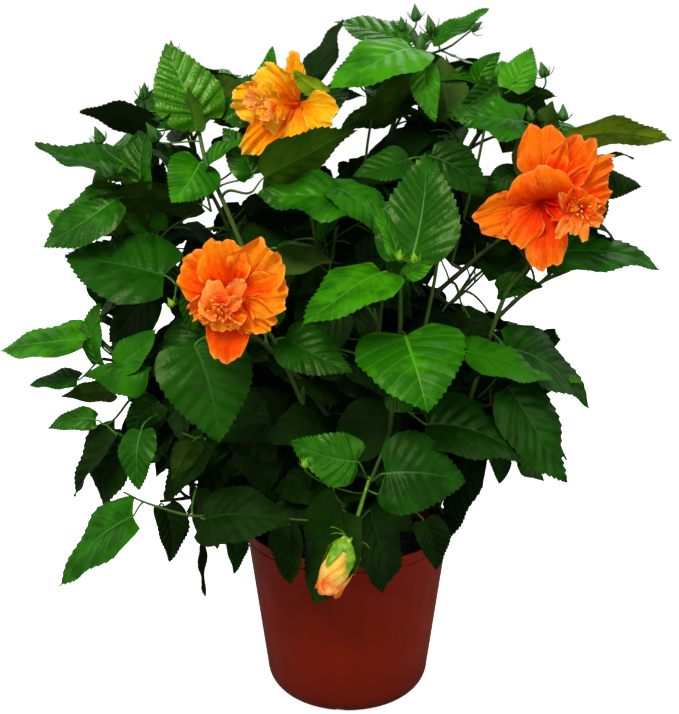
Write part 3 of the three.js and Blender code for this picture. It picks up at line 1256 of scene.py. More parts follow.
@dataclass(frozen=True)
class LeafForm:
    """The make of one leaf blade, one unit long from its foot to its tip."""

    width: float = 0.68
    fold: float = 0.14
    arch: float = 0.5
    twist: float = 0.0
    wave: float = 0.02
    lobe: float = 0.05
    droop_edge: float = 0.05
    phase: float = 0.0
    quilt: float = 0.0095
    veer: float = 0.0
    fine: bool = True

    def rows(self) -> tuple[Points, Points, Points]:
        """Where each row of the grid starts, how far its end stands out as a tooth, and its quilting.

        Returns:
            The three, one value for each row.
        """
        if self.fine:
            count, steps = 7, (0, 0.07, 0.2, 0.52, 0.68)
            teeth, quilt = (0.85, 1, 0, 1, 0), (0, 0, 0.7, 1, 0.75)
        else:
            count, steps, teeth, quilt = 5, (0, 0.4, 0.75), (0.8, 0, 0.7), (0, 1, 0.6)
        s = np.array([(i + step) / count for i in range(count) for step in steps] + [0.998])
        return s, np.array(teeth * count + (0,), float), np.array(quilt * count + (0,), float)

    def flat(self, s: Points, u: Points, teeth: Points, quilt: Points) -> Points:
        """The blade before it is bent.

        Args:
            s: where each row starts along the midrib.
            u: where each column is, from -1 at the left margin to 1 at the right.
            teeth: how far each row's end stands out.
            quilt: how high each row is between its veins.

        Returns:
            The grid of its upper face.
        """
        root, edge = s**1.5, s**0.68
        q = (edge + 0.04) / 1.04
        breadth = q**0.45 * (1 - q) ** 1.08
        breadth = breadth / (0.294**0.45 * 0.706**1.08) * self.width / 2
        bite = teeth * smoothstep(0.1, 0.3, edge) * (1 - smoothstep(0.9, 1.0, edge))
        across = np.abs(u)[None, :]
        x = np.sign(u)[None, :] * across * (breadth + 0.017 * bite)[:, None]
        y_edge = edge - self.lobe * (1 - s) ** 5 + 0.012 * bite
        y = root[:, None] + (y_edge - root)[:, None] * across**1.12
        swell = smoothstep(0.02, 0.25, across) * (1 - smoothstep(0.82, 1.0, across))
        patch = np.random.default_rng(int(self.phase * 100)).uniform(0.35, 1.35, (2, 8))
        patch = patch[(u > 0).astype(int)[None, :], (s * 7).astype(int)[:, None] % 8]
        z = self.quilt * patch * quilt[:, None] * swell * (1 - smoothstep(0.85, 1.0, edge))[:, None]
        z = z + self.fold * np.abs(x) - self.droop_edge * across**3 * breadth[:, None] / self.width * 2
        side = np.where(u > 0, 0.37, 0.0)[None, :]
        z = z + self.wave * across**2 * np.sin(2 * pi * (2.1 * y + self.phase + side))
        z = z - 0.006 * np.exp(-((across / 0.06) ** 2)) * (1 - s)[:, None]
        return np.stack([x + self.veer * (y - y * y), y, z], -1)

    def build(self, name: str) -> Object:
        """Makes the blade with its faces tagged as upper skin, underside or vein.

        Args:
            name: the name of the blade.

        Returns:
            The blade, for a recipe to set on its points.
        """
        s, teeth, quilt = self.rows()
        half = (0, 0.03, 0.17, 0.36, 0.58, 0.8, 1) if self.fine else (0, 0.35, 0.7, 1)
        u = np.array([-x for x in half[::-1]] + list(half[1:]))
        ripple = 0.12 * self.arch
        grid = bent(self.flat(s, u, teeth, quilt),
                    lambda d: self.arch * (0.5 - d) + ripple * np.sin(d * 7 + self.phase * 6), self.twist)
        middle = len(u) // 2
        grid = grid - grid[0, middle]
        tip = grid[-1, middle]
        grid = grid @ np.array(Matrix.Rotation(math.atan2(tip[2], tip[1]), 3, "X"))
        grid = grid / float(grid[-1, middle, 1])
        far, out = s[:, None] * 7 + 0 * u, np.abs(u) + 0 * s[:, None]
        solid = Solid()
        cells = solid.add_blade(grid, 0.005, along=far, across=out)
        form = solid.build(name, [])
        ribs = (middle - 1, middle) if self.fine else ()
        skins = [Skin.VEIN if c in ribs else Skin.UPPER if above else Skin.UNDER for _, c, above in cells]
        carry(form, "skin", "INT", skins, "FACE")
        return form


class Form(Enum):
    """The blades that the crown is made from."""

    PLAIN = LeafForm(arch=0.4, veer=0.18, phase=0.1)
    ARCHED = LeafForm(arch=0.75, veer=-0.3, fold=0.2, phase=0.5)
    DROOPING = LeafForm(arch=1.15, veer=0.3, fold=0.1, wave=0.03, phase=0.8)
    FOLDED = LeafForm(width=0.62, veer=-0.25, fold=0.5, arch=0.6, phase=0.3)
    TWISTED = LeafForm(arch=0.65, veer=0.35, twist=0.55, wave=0.03, phase=0.65)
    BROAD = LeafForm(width=0.8, veer=-0.14, arch=0.5, lobe=0.08, fold=0.1, phase=0.2)
    HEART = LeafForm(width=0.9, arch=0.5, lobe=0.13, fold=0.16, wave=0.035, phase=0.9)
    NARROW = LeafForm(width=0.5, veer=0.3, arch=0.45, fold=0.22, phase=0.4)
    CUPPED = LeafForm(arch=-0.45, veer=0.12, fold=0.34, phase=0.7)
    WAVY = LeafForm(width=0.7, veer=-0.28, arch=0.55, wave=0.055, phase=0.05)
    ROLLED = LeafForm(arch=0.85, veer=0.22, fold=-0.06, droop_edge=0.3, phase=0.6)
    SLIM = LeafForm(width=0.55, veer=-0.35, arch=0.8, twist=-0.6, fold=0.25, phase=0.35)
    INNER = LeafForm(arch=0.5, fine=False)
    INNER_ARCHED = LeafForm(arch=0.9, fine=False, fold=0.2)
    INNER_FOLDED = LeafForm(arch=0.6, fold=0.4, fine=False)
    INNER_TWISTED = LeafForm(arch=0.6, twist=0.5, fine=False)


(PLAIN, ARCHED, DROOPING, FOLDED, TWISTED, BROAD, HEART, NARROW, CUPPED, WAVY, ROLLED, SLIM,
 *INNER_FORMS) = Form
OUTER_FORMS = [PLAIN, PLAIN, ARCHED, ARCHED, DROOPING, FOLDED, TWISTED, BROAD, BROAD, NARROW, CUPPED, WAVY,
               WAVY, ROLLED, SLIM]


@dataclass
class Leaf:
    """One leaf where it grows."""

    foot: Points
    forward: Points
    face: Points
    length: float
    tone: Tone
    form: Form
    wide: float = 1.0
    crinkle: float = 0.5

    def __post_init__(self) -> None:
        """Squares the face to the blade's length."""
        self.forward = unit(self.forward)
        self.face = across_to(self.face, self.forward)

    def at(self, share: float) -> Points:
        """A point along the blade, from 0 at its foot to 1 at its tip."""
        return self.foot + self.forward * self.length * share

    def samples(self) -> Points:
        """A few points spread over the blade.

        Returns:
            The points, in the frame of the plant.
        """
        side = np.cross(self.forward, self.face) * self.length * 0.24 * self.wide
        broadest = self.at(0.35)
        return np.array([self.at(0.15), self.at(0.5), self.at(0.82), broadest + side, broadest - side])

    def spread(self) -> Points:
        """More points, over the whole of the blade.

        Returns:
            The points, in the frame of the plant.
        """
        side = np.cross(self.forward, self.face) * self.length * self.wide
        along, across = np.meshgrid((0.0, 0.2, 0.4, 0.6, 0.8, 1.0), (-1.0, 0.0, 1.0))
        along, across = along.ravel()[:, None], across.ravel()[:, None]
        breadth = 0.34 * np.clip(np.sin(pi * np.clip(along, 0, 1) ** 0.7), 0, 1)
        return self.foot + along * self.forward * self.length + across * breadth * side

    def outline(self) -> Points:
        """A ring well inside the blade's margin, from the foot round by the tip and back."""
        left, middle, right = self.spread().reshape(3, 6, 3)
        return np.vstack([middle * 0.4 + left * 0.6, (middle * 0.4 + right * 0.6)[::-1]])


class LeafKit:
    """Lays out leaves: one template for each form, set at every leaf's place and painted by its tone."""

    def __init__(self) -> None:
        """Makes the templates, the paints and the recipe."""
        self.forms = bpy.data.collections.new("leaf_forms")
        self.numbers = {form: number for number, form in enumerate(Form)}
        for form, number in self.numbers.items():
            into(self.forms, form.value.build(f"leaf_form_{number:02d}"))
        self.recipe = self.make_recipe()

    def make_recipe(self) -> NodeRecipe:
        """Sets a blade on every point, then gives each skin of each tone its paint.

        Returns:
            The finished recipe.
        """
        made = NodeRecipe("set_leaves")
        rotation = made.node("FunctionNodeEulerToRotation", {0: made.named("turn", "FLOAT_VECTOR")})
        forms, size = made.setting("Forms", "Collection"), made.named("size", "FLOAT_VECTOR")
        placed = made.set_forms(forms, made.start, Rotation=rotation, Scale=size,
                                Instance_Index=made.named("form", "INT"))
        shape = made.node("GeometryNodeRealizeInstances", {0: placed})
        for tone, paint in PAINTS.items():
            for skin, material in zip(Skin, (paint.upper(), paint.under_side(), paint.midrib())):
                chosen = [made.node("FunctionNodeCompare", {2: made.named(name, "INT"), 3: int(value)},
                                    data_type="INT", operation="EQUAL")
                          for name, value in (("tone", tone), ("skin", skin))]
                both = made.node("FunctionNodeBooleanMath", {0: chosen[0], 1: chosen[1]}, operation="AND")
                shape = made.paint(shape, material, both)
        return made.end(shape)

    def build(self, name: str, leaves: list[Leaf]) -> Object:
        """Makes many leaves one piece.

        Args:
            name: the name of the piece.
            leaves: the leaves in it.

        Returns:
            The piece, in its place on the plant.
        """
        base = cloud_object(name + "_feet", np.array([leaf.foot for leaf in leaves]))
        turns = [tuple(Matrix(frame_of(leaf.forward, leaf.face).tolist()).to_euler()) for leaf in leaves]
        carry(base, "turn", "FLOAT_VECTOR", turns)
        sizes = [(leaf.length * leaf.wide, leaf.length, leaf.length) for leaf in leaves]
        carry(base, "size", "FLOAT_VECTOR", sizes)
        carry(base, "form", "INT", [self.numbers[leaf.form] for leaf in leaves])
        carry(base, "tone", "INT", [int(leaf.tone) for leaf in leaves])
        carry(base, "crinkle", "FLOAT", [leaf.crinkle for leaf in leaves])
        carry(base, "lot", "FLOAT", np.modf(np.arange(len(leaves)) * 0.618)[0])
        piece = self.recipe.run(base, name, Forms=self.forms)
        for extra in ("turn", "size", "form", "tone", "skin"):
            layer = piece.data.attributes.get(extra)
            if layer is not None:
                piece.data.attributes.remove(layer)
        return piece


# ---------------------------------------------------------------- crown


EYE_LEVEL = np.array((0.0, -1.5425, 0.90))


class Look(Enum):
    """Which side of a leaf is turned to the front."""

    OVER = 1
    UNDER = -1


@dataclass(frozen=True)
class Placed:
    """A leaf with a place of its own: its foot, its tip and half its apparent width, in centimetres."""

    foot: tuple[float, float, float]
    tip: tuple[float, float, float]
    half: float
    look: Look
    tone: Tone
    form: Form | None = None
    crinkle: float = 0.35

    def leaf(self, rng: Chance) -> Leaf:
        """The leaf, turned so that it shows as much of its width as it should.

        Args:
            rng: where its chances are drawn from.

        Returns:
            The leaf.
        """
        foot, tip = np.array(self.foot) / 100, np.array(self.tip) / 100
        forward, length = unit(tip - foot), float(np.linalg.norm(tip - foot))
        form = self.form or rng.choice(OUTER_FORMS)
        shown = self.half / 100 / (length * (form.value.width / 2))
        wide = min(max(shown, 1.0), 1.3)
        front = across_to(EYE_LEVEL - (foot + tip) / 2, forward)
        over = np.cross(forward, front)
        over = over if over[2] > 0 else -over
        tilt = math.acos(min(shown / wide, 0.985))
        face = front * cos(tilt) * self.look.value + over * sin(tilt)
        return Leaf(foot, forward, face, length, self.tone, form, wide, self.crinkle)


OVER, UNDER = Look
YOUNG, FRESH, DEEP, SHADE = Tone

PLACED = (
    # the left shoulder
    ((-15.8, -10, 73), (-19.3, -8, 80.8), 3.6, OVER, YOUNG, BROAD, 1.0),
    ((-21, -8, 71.5), (-29, -8, 73.5), 1.7, UNDER, SHADE),
    ((-24, -8, 67.4), (-35, -4, 69.6), 1.8, OVER, FRESH, CUPPED),
    ((-16.5, -8, 63.5), (-28.5, -8, 64), 1.8, UNDER, DEEP, PLAIN),
    ((-25.4, -8, 64), (-34, -8, 58.6), 2.6, OVER, FRESH, ARCHED),
    ((-15.7, -12, 68.6), (-18.4, -16, 65.0), 2.9, OVER, YOUNG, BROAD, 0.15),
    ((-16.1, -11.2, 71.9), (-16.8, -11.2, 76.6), 1.1, UNDER, FRESH, PLAIN, 0.1),
    ((-15.6, -7, 74.7), (-9.3, -7, 74.5), 2.4, UNDER, DEEP, PLAIN, 0.1),
    ((-10.1, -12, 67.3), (-13.4, -10, 72.1), 2.0, OVER, FRESH, PLAIN),
    ((-15.1, -11.5, 67.8), (-11.0, -12.5, 70.8), 0.8, OVER, FRESH, FOLDED),
    ((-22.5, -8, 65.5), (-21.5, -6, 72.5), 1.7, OVER, FRESH, FOLDED),
    ((-20, -12, 56.3), (-31.6, -8, 57.8), 3.9, OVER, DEEP, BROAD),
    # along the top
    ((-2.5, -14, 76), (-5.5, -16, 78.6), 1.0, UNDER, YOUNG, NARROW),
    ((-9.5, -8, 75.5), (-8, -8, 80.5), 1.2, OVER, YOUNG, NARROW),
    ((-4, -6, 77), (-0.5, -3, 83), 1.7, OVER, SHADE),
    ((7, -4, 80), (-2, -10, 76), 2.6, OVER, YOUNG, BROAD, 0.3),
    ((7, 0, 80.2), (-1.5, 3, 82.5), 1.6, OVER, FRESH, ARCHED, 0.9),
    ((-8.5, -18, 68), (1, -15, 72.5), 2.3, UNDER, FRESH, ARCHED),
    ((7.5, -3, 76), (-1.5, -8, 70.5), 2.5, UNDER, DEEP, TWISTED),
    ((8.5, -6, 78), (9.5, -9, 72.5), 1.6, OVER, YOUNG, NARROW),
    ((11.5, -4, 72.5), (10.5, -1, 79), 2.9, UNDER, DEEP, PLAIN),
    ((9.5, 0, 80.5), (16, 2, 84), 1.0, OVER, FRESH, NARROW),
    ((14.5, -3, 76), (17, -3, 79.5), 1.3, OVER, YOUNG, SLIM),
    ((18, -4, 75.5), (20.5, -2, 80), 2.0, OVER, YOUNG, CUPPED),
    ((19, -8, 72.5), (11, -9, 73.5), 2.1, OVER, FRESH, WAVY, 0.4),
    ((17, -2, 74.5), (23.5, -2, 74.5), 1.2, UNDER, DEEP, PLAIN),
    ((16.5, -3, 76), (12.5, -4, 73.5), 1.5, OVER, DEEP),
    # the right shoulder
    ((24, -5, 69.9), (36.5, -3, 69.7), 1.7, UNDER, YOUNG, PLAIN, 0.1),
    ((28.5, -4, 66.5), (33.5, -3, 64.5), 1.3, OVER, SHADE),
    ((22, -10, 57.9), (35, -8, 56), 2.3, OVER, FRESH, ARCHED, 0.1),
    ((17, -8, 53.5), (22, -8, 54), 1.4, OVER, DEEP),
    ((19, -6, 66.5), (15.5, -6, 64.5), 1.4, OVER, DEEP),
    ((9, -10, 69), (15, -10, 64.5), 2.4, OVER, DEEP, ARCHED),
    # the middle
    ((6.5, -21, 60), (8, -17, 70.5), 4.2, OVER, FRESH, CUPPED, 0.35),
    ((6.5, -12, 69), (0.5, -14, 67.5), 1.7, OVER, DEEP, ARCHED),
    ((0.5, -16, 65.5), (-9.5, -17, 66), 2.3, OVER, FRESH, WAVY),
    ((-1, -16, 66.5), (4, -20, 61.5), 2.0, OVER, FRESH, ARCHED),
    ((5, -21, 60.5), (2, -20, 66), 1.0, OVER, YOUNG, NARROW),
    ((6, -21, 58.5), (9, -22, 60.5), 0.9, OVER, YOUNG, NARROW),
    ((3.5, -20, 58.5), (-4.5, -26, 54.5), 2.6, OVER, YOUNG, BROAD),
    ((6, -21, 52), (8, -28, 46), 6.0, OVER, YOUNG, HEART, 0.15),
    ((-6.5, -20, 51.5), (0.5, -24, 49), 2.6, OVER, DEEP, PLAIN),
    ((-7.5, -15, 60), (-1.5, -15, 58.5), 1.6, UNDER, DEEP),
    ((-16, -20, 50.5), (-13.5, -23, 41), 4.9, OVER, DEEP, BROAD, 0.3),
    # the left side
    ((-30, -8, 47.8), (-40.5, -5, 45.6), 1.8, OVER, YOUNG, ARCHED),
    ((-31, -8, 43), (-37, -7, 42), 1.1, OVER, FRESH, PLAIN, 0.2),
    ((-27, -9, 42), (-33, -8, 41), 1.3, UNDER, DEEP),
    ((-29, -9, 38.5), (-35, -8, 37), 1.3, OVER, FRESH, NARROW),
    ((-25.5, -12, 46), (-21, -13, 50.5), 1.7, OVER, FRESH, CUPPED, 0.1),
    ((-22, -13, 46), (-29.5, -12, 44.8), 1.4, OVER, FRESH, ROLLED, 0.1),
    ((-22.3, -7, 52.8), (-27.6, -6, 47), 2.6, OVER, SHADE, BROAD, 0.1),
    ((-17.2, -12, 54.6), (-16.8, -13.5, 50.2), 1.3, OVER, DEEP, CUPPED, 0.2),
    ((-28.5, -8, 45), (-28, -7, 52), 0.9, OVER, FRESH, SLIM),
    ((-21.5, -10, 41), (-25, -10, 37), 1.8, OVER, DEEP),
    ((-23, -14, 39), (-23, -17, 33), 2.0, OVER, FRESH, PLAIN, 0.2),
    ((-16, -13, 37.5), (-20.7, -13, 30), 2.0, OVER, SHADE, PLAIN, 0.1),
    ((-26.5, -10, 37), (-32, -9, 29), 1.3, OVER, SHADE, FOLDED),
    ((-25.5, -9, 36), (-28, -8, 26.5), 2.1, OVER, SHADE),
    ((-24, -16, 29.6), (-33, -15, 20.4), 2.4, OVER, FRESH, PLAIN, 0.2),
    ((-21, -13, 29.5), (-20.5, -14, 23), 1.8, OVER, SHADE, FOLDED),
    ((-16.3, -14, 26), (-16.5, -14, 18.6), 0.45, UNDER, SHADE, NARROW),
    ((-13.5, -14, 27), (-13, -15, 22), 1.3, OVER, DEEP, FOLDED),
    ((-17, -14, 32), (-17, -14, 25.5), 1.4, UNDER, SHADE, FOLDED),
    # the lower middle
    ((-15.5, -20, 31), (-6, -22, 31.5), 3.2, OVER, SHADE, BROAD, 0.15),
    ((-17, -16, 38.5), (-19.5, -16, 34), 1.4, UNDER, DEEP),
    ((1, -22, 38.5), (-6, -24, 41.5), 2.8, OVER, FRESH, WAVY),
    ((4, -23, 37.5), (12.5, -23, 36.5), 4.4, OVER, DEEP, BROAD, 0.15),
    ((8.5, -19, 41.5), (19.5, -16, 36), 3.0, OVER, DEEP, ARCHED),
    ((4.5, -19, 45), (7, -20, 43.5), 1.6, OVER, FRESH),
    ((18, -12, 43.5), (25, -12, 32), 3.3, OVER, DEEP, PLAIN),
    ((17.5, -12, 48), (27.8, -9, 39.9), 2.4, OVER, DEEP, ARCHED),
    ((13, -15, 48.5), (22.5, -14, 45), 1.8, OVER, FRESH, PLAIN),
    ((17, -10, 35.5), (17.5, -10, 31), 1.2, OVER, DEEP),
    ((14.5, -11, 35), (12, -12, 25), 2.3, OVER, SHADE, PLAIN),
    ((8.5, -16, 29), (10, -16, 23), 1.8, OVER, SHADE, FOLDED),
    ((2.5, -19, 31.5), (4, -18.5, 21.5), 2.4, OVER, SHADE, DROOPING),
    ((-0.5, -20, 32), (-4, -18.5, 20), 3.4, OVER, SHADE, BROAD),
    ((-6.5, -17, 29), (-6.5, -18, 22), 1.8, OVER, SHADE, FOLDED),
)

OPENINGS = (
    # the places where the light comes through: a point in the crown and a radius, in centimetres
    ((3.5, -2, 71), 2.3), ((1, -2, 69), 1.4), ((14, -2, 68.5), 1.9), ((17, -5, 69), 1.6),
    ((11, -10, 55.5), 2.4), ((19, -8, 56), 1.4), ((17, -8, 53.5), 1.0), ((-12.7, -8, 66.3), 2.1),
    ((-25.2, -5, 75.8), 1.7), ((-22.2, -5, 77.8), 1.2), ((-14.8, -8, 70.5), 1.5), ((24.8, -3, 55.0), 1.5),
    ((-9, -8, 65.8), 1.3), ((-4.5, -8, 67.6), 1.3), ((-1.5, -8, 69), 1.1), ((-15.5, -6, 70), 1.1),
    ((-16, -10, 62.5), 1.5), ((-5, -10, 60.5), 0.8), ((3, -2, 77), 0.9), ((-22.5, -5, 79.5), 1.8),
    ((-13, -3, 78.5), 1.5), ((14, 0, 80), 1.4), ((33.5, -3, 61.5), 2.8), ((29, -3, 53.4), 2.6),
    ((25, -5, 51.5), 2.3), ((18.6, -7, 28.6), 3.0), ((14.6, -6, 25), 2.2), ((16.5, -6, 27), 2.0),
    ((-31, -5, 65), 1.5), ((-19, -8, 57), 1.1), ((-13.5, -12, 24), 1.1), ((22, -6, 51.8), 2.3),
    ((-21.2, -8, 50), 1.5), ((-24, -12, 24), 2.6), ((26.6, -5, 47.8), 1.9), ((23.5, -2, 76.5), 1.8),
    ((20.2, -8, 50.9), 1.9), ((23.8, -6, 50), 1.9), ((14.6, -8, 52.6), 1.8), ((-11.5, -3, 80), 1.3),
    ((30, -4, 34), 2.6), ((30, -3, 47.5), 2.6), ((31, -2, 74), 2.0), ((-21.5, -12, 31), 1.3),
    ((-25, -12, 32), 0.9), ((-32, -6, 51), 2.8), ((-20.5, -10, 50.5), 1.0), ((-24.5, -10, 49.5), 0.9),
    ((-36, -6, 40), 1.8), ((-26, -10, 40.5), 1.5), ((-30, -10, 29), 3.6), ((-36, -6, 33), 4.0),
    ((-20, -12, 20), 4.0), ((24, -10, 23), 5.0),
)

ZONES = {
    "top_front": ("top_left", "top_front", "top_middle", "top_right"),
    "top_behind": ("top_back_left", "top_back_right", "back"),
    "right": ("right_upper", "right", "front_right", "low_right"),
    "left": ("left_arm", "left", "low_left"),
    "front": ("front_left", "front_middle", "low_front"),
    "behind": ("back_left", "back_right", "low_back_left", "low_back_right"),
}


@dataclass
class Mass:
    """One rounded mass of the crown, as its solid gives it."""

    name: str
    centre: Points = field(init=False)
    offsets: Points = field(init=False)
    reach: Points = field(init=False)

    def __post_init__(self) -> None:
        """Reads the mass from its solid."""
        corners = np.array([v.co[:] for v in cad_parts[f"foliage_{self.name}"].data.vertices])
        self.centre = (corners.min(0) + corners.max(0)) / 2
        self.offsets = corners - self.centre
        self.reach = np.linalg.norm(self.offsets, axis=1)

    @property
    def outward(self) -> Points:
        """The level direction away from the plant's middle."""
        return unit((self.centre[0], self.centre[1], 0.0))

    def beyond(self, point: Points) -> float:
        """How far a point stands out of the mass, less than nothing inside it.

        Args:
            point: a point in the frame of the plant.

        Returns:
            The distance in metres.
        """
        gap = point - self.centre
        nearest = int(np.argmax((self.offsets @ gap) / self.reach))
        return float(np.linalg.norm(gap)) - float(self.reach[nearest])

    def tips(self, count: int, fill: float, rng: Chance) -> list[Points]:
        """Ends for shoots, spread over the side of the mass that faces the light.

        Args:
            count: how many ends are wanted.
            fill: how much of the way from the middle to the outside they reach.
            rng: the source of chance.

        Returns:
            The ends, the farthest out first.
        """
        pull = unit(self.outward * 0.9 + UP * 0.65)
        weight = 0.3 + 0.7 * smoothstep(-0.7, 0.6, (self.offsets @ pull) / self.reach)
        chosen = [int(np.argmax(weight * self.reach))]
        while len(chosen) < count:
            gaps = np.linalg.norm(self.offsets[:, None] - self.offsets[chosen][None], axis=2).min(1)
            chosen.append(int(np.argmax(gaps * weight * rng.uniform(0.8, 1.2, len(gaps)))))
        return [self.centre + self.offsets[i] * fill for i in chosen]


@dataclass
class Screen:
    """A disc that leaves keep clear of: in front of it, or all along the line of sight through it."""

    centre: Points
    radius: float
    through: bool = False


@dataclass
class Room:
    """What space is left for more leaves."""

    masses: list[Mass]
    pot: Pot
    screens: list[Screen]
    front: float = -0.135
    discs: Points = field(default_factory=lambda: np.zeros((0, 5)))
    taken: list[Points] = field(default_factory=list)

    def hidden(self, points: Points, openings: bool = True) -> bool:
        """Whether any of the points stands in the way of a screen, with or without the openings.

        Args:
            points: points in the frame of the plant.
            openings: whether an opening counts as a screen.

        Returns:
            True where one of them does.
        """
        if len(self.discs) != len(self.screens):
            self.discs = np.array([(*disc.centre, disc.radius, disc.through) for disc in self.screens])
        discs = self.discs if openings else self.discs[self.discs[:, 4] < 0.5]
        if not len(discs):
            return False
        sight = discs[:, :3] - EYE_LEVEL
        far = np.linalg.norm(sight, axis=1)
        rays = points - EYE_LEVEL
        depth = rays @ (sight / far[:, None]).T
        aside = np.sqrt(np.maximum((rays**2).sum(1)[:, None] - depth**2, 0.0)) * far / depth
        before = (depth < far - 0.004) | (discs[:, 4] > 0.5)
        return bool(((aside < discs[:, 3]) & before).any())

    def take(self, leaf: Leaf) -> None:
        """Marks a leaf's space as taken."""
        self.taken.append(leaf.samples())

    def ease(self, leaf: Leaf) -> float:
        """How far a leaf is from its nearest neighbour, or -1 where it can't be.

        Args:
            leaf: the leaf to try.

        Returns:
            The distance in metres, or -1.
        """
        tip = leaf.at(1.0)
        points = np.vstack([leaf.samples(), [tip]])
        heart = float(np.hypot(tip[0], tip[1])) < 0.2 and 0.25 < tip[2] < 0.71
        outside = not heart and min(mass.beyond(tip) for mass in self.masses) > 0.006
        before = (points[:, 1] < self.front).any() and abs(leaf.foot[0]) < 0.3
        near = np.hypot(points[:, 0], points[:, 1]) < self.pot.rim + 0.006
        in_pot = (near & (points[:, 2] < self.pot.height + 0.006)).any()
        if outside or before or in_pot or self.hidden(leaf.spread()):
            return -1.0
        if not self.taken:
            return 1.0
        others = np.concatenate(self.taken)
        return float(np.linalg.norm(points[:5, None] - others[None], axis=2).min())


def seen_flat(points: Points) -> Points:
    """Where points stand as seen from the front: how far aside and how far up, for each unit of depth."""
    gap = points - EYE_LEVEL
    return gap[:, [0, 2]] / gap[:, 1:2]


def inside(spots: Points, ring: Points) -> Points:
    """Which of the flat spots lie inside a flat ring.

    Args:
        spots: the spots, two numbers each.
        ring: the corners of the ring in order.

    Returns:
        One truth for each spot.
    """
    ahead, level = np.roll(ring, -1, axis=0), spots[:, 1:2]
    crossed = (ring[:, 1] > level) != (ahead[:, 1] > level)
    rise = np.where(ahead[:, 1] == ring[:, 1], 1e-9, ahead[:, 1] - ring[:, 1])
    at = ring[:, 0] + (level - ring[:, 1]) / rise * (ahead[:, 0] - ring[:, 0])
    return (crossed & (spots[:, 0:1] < at)).sum(1) % 2 == 1


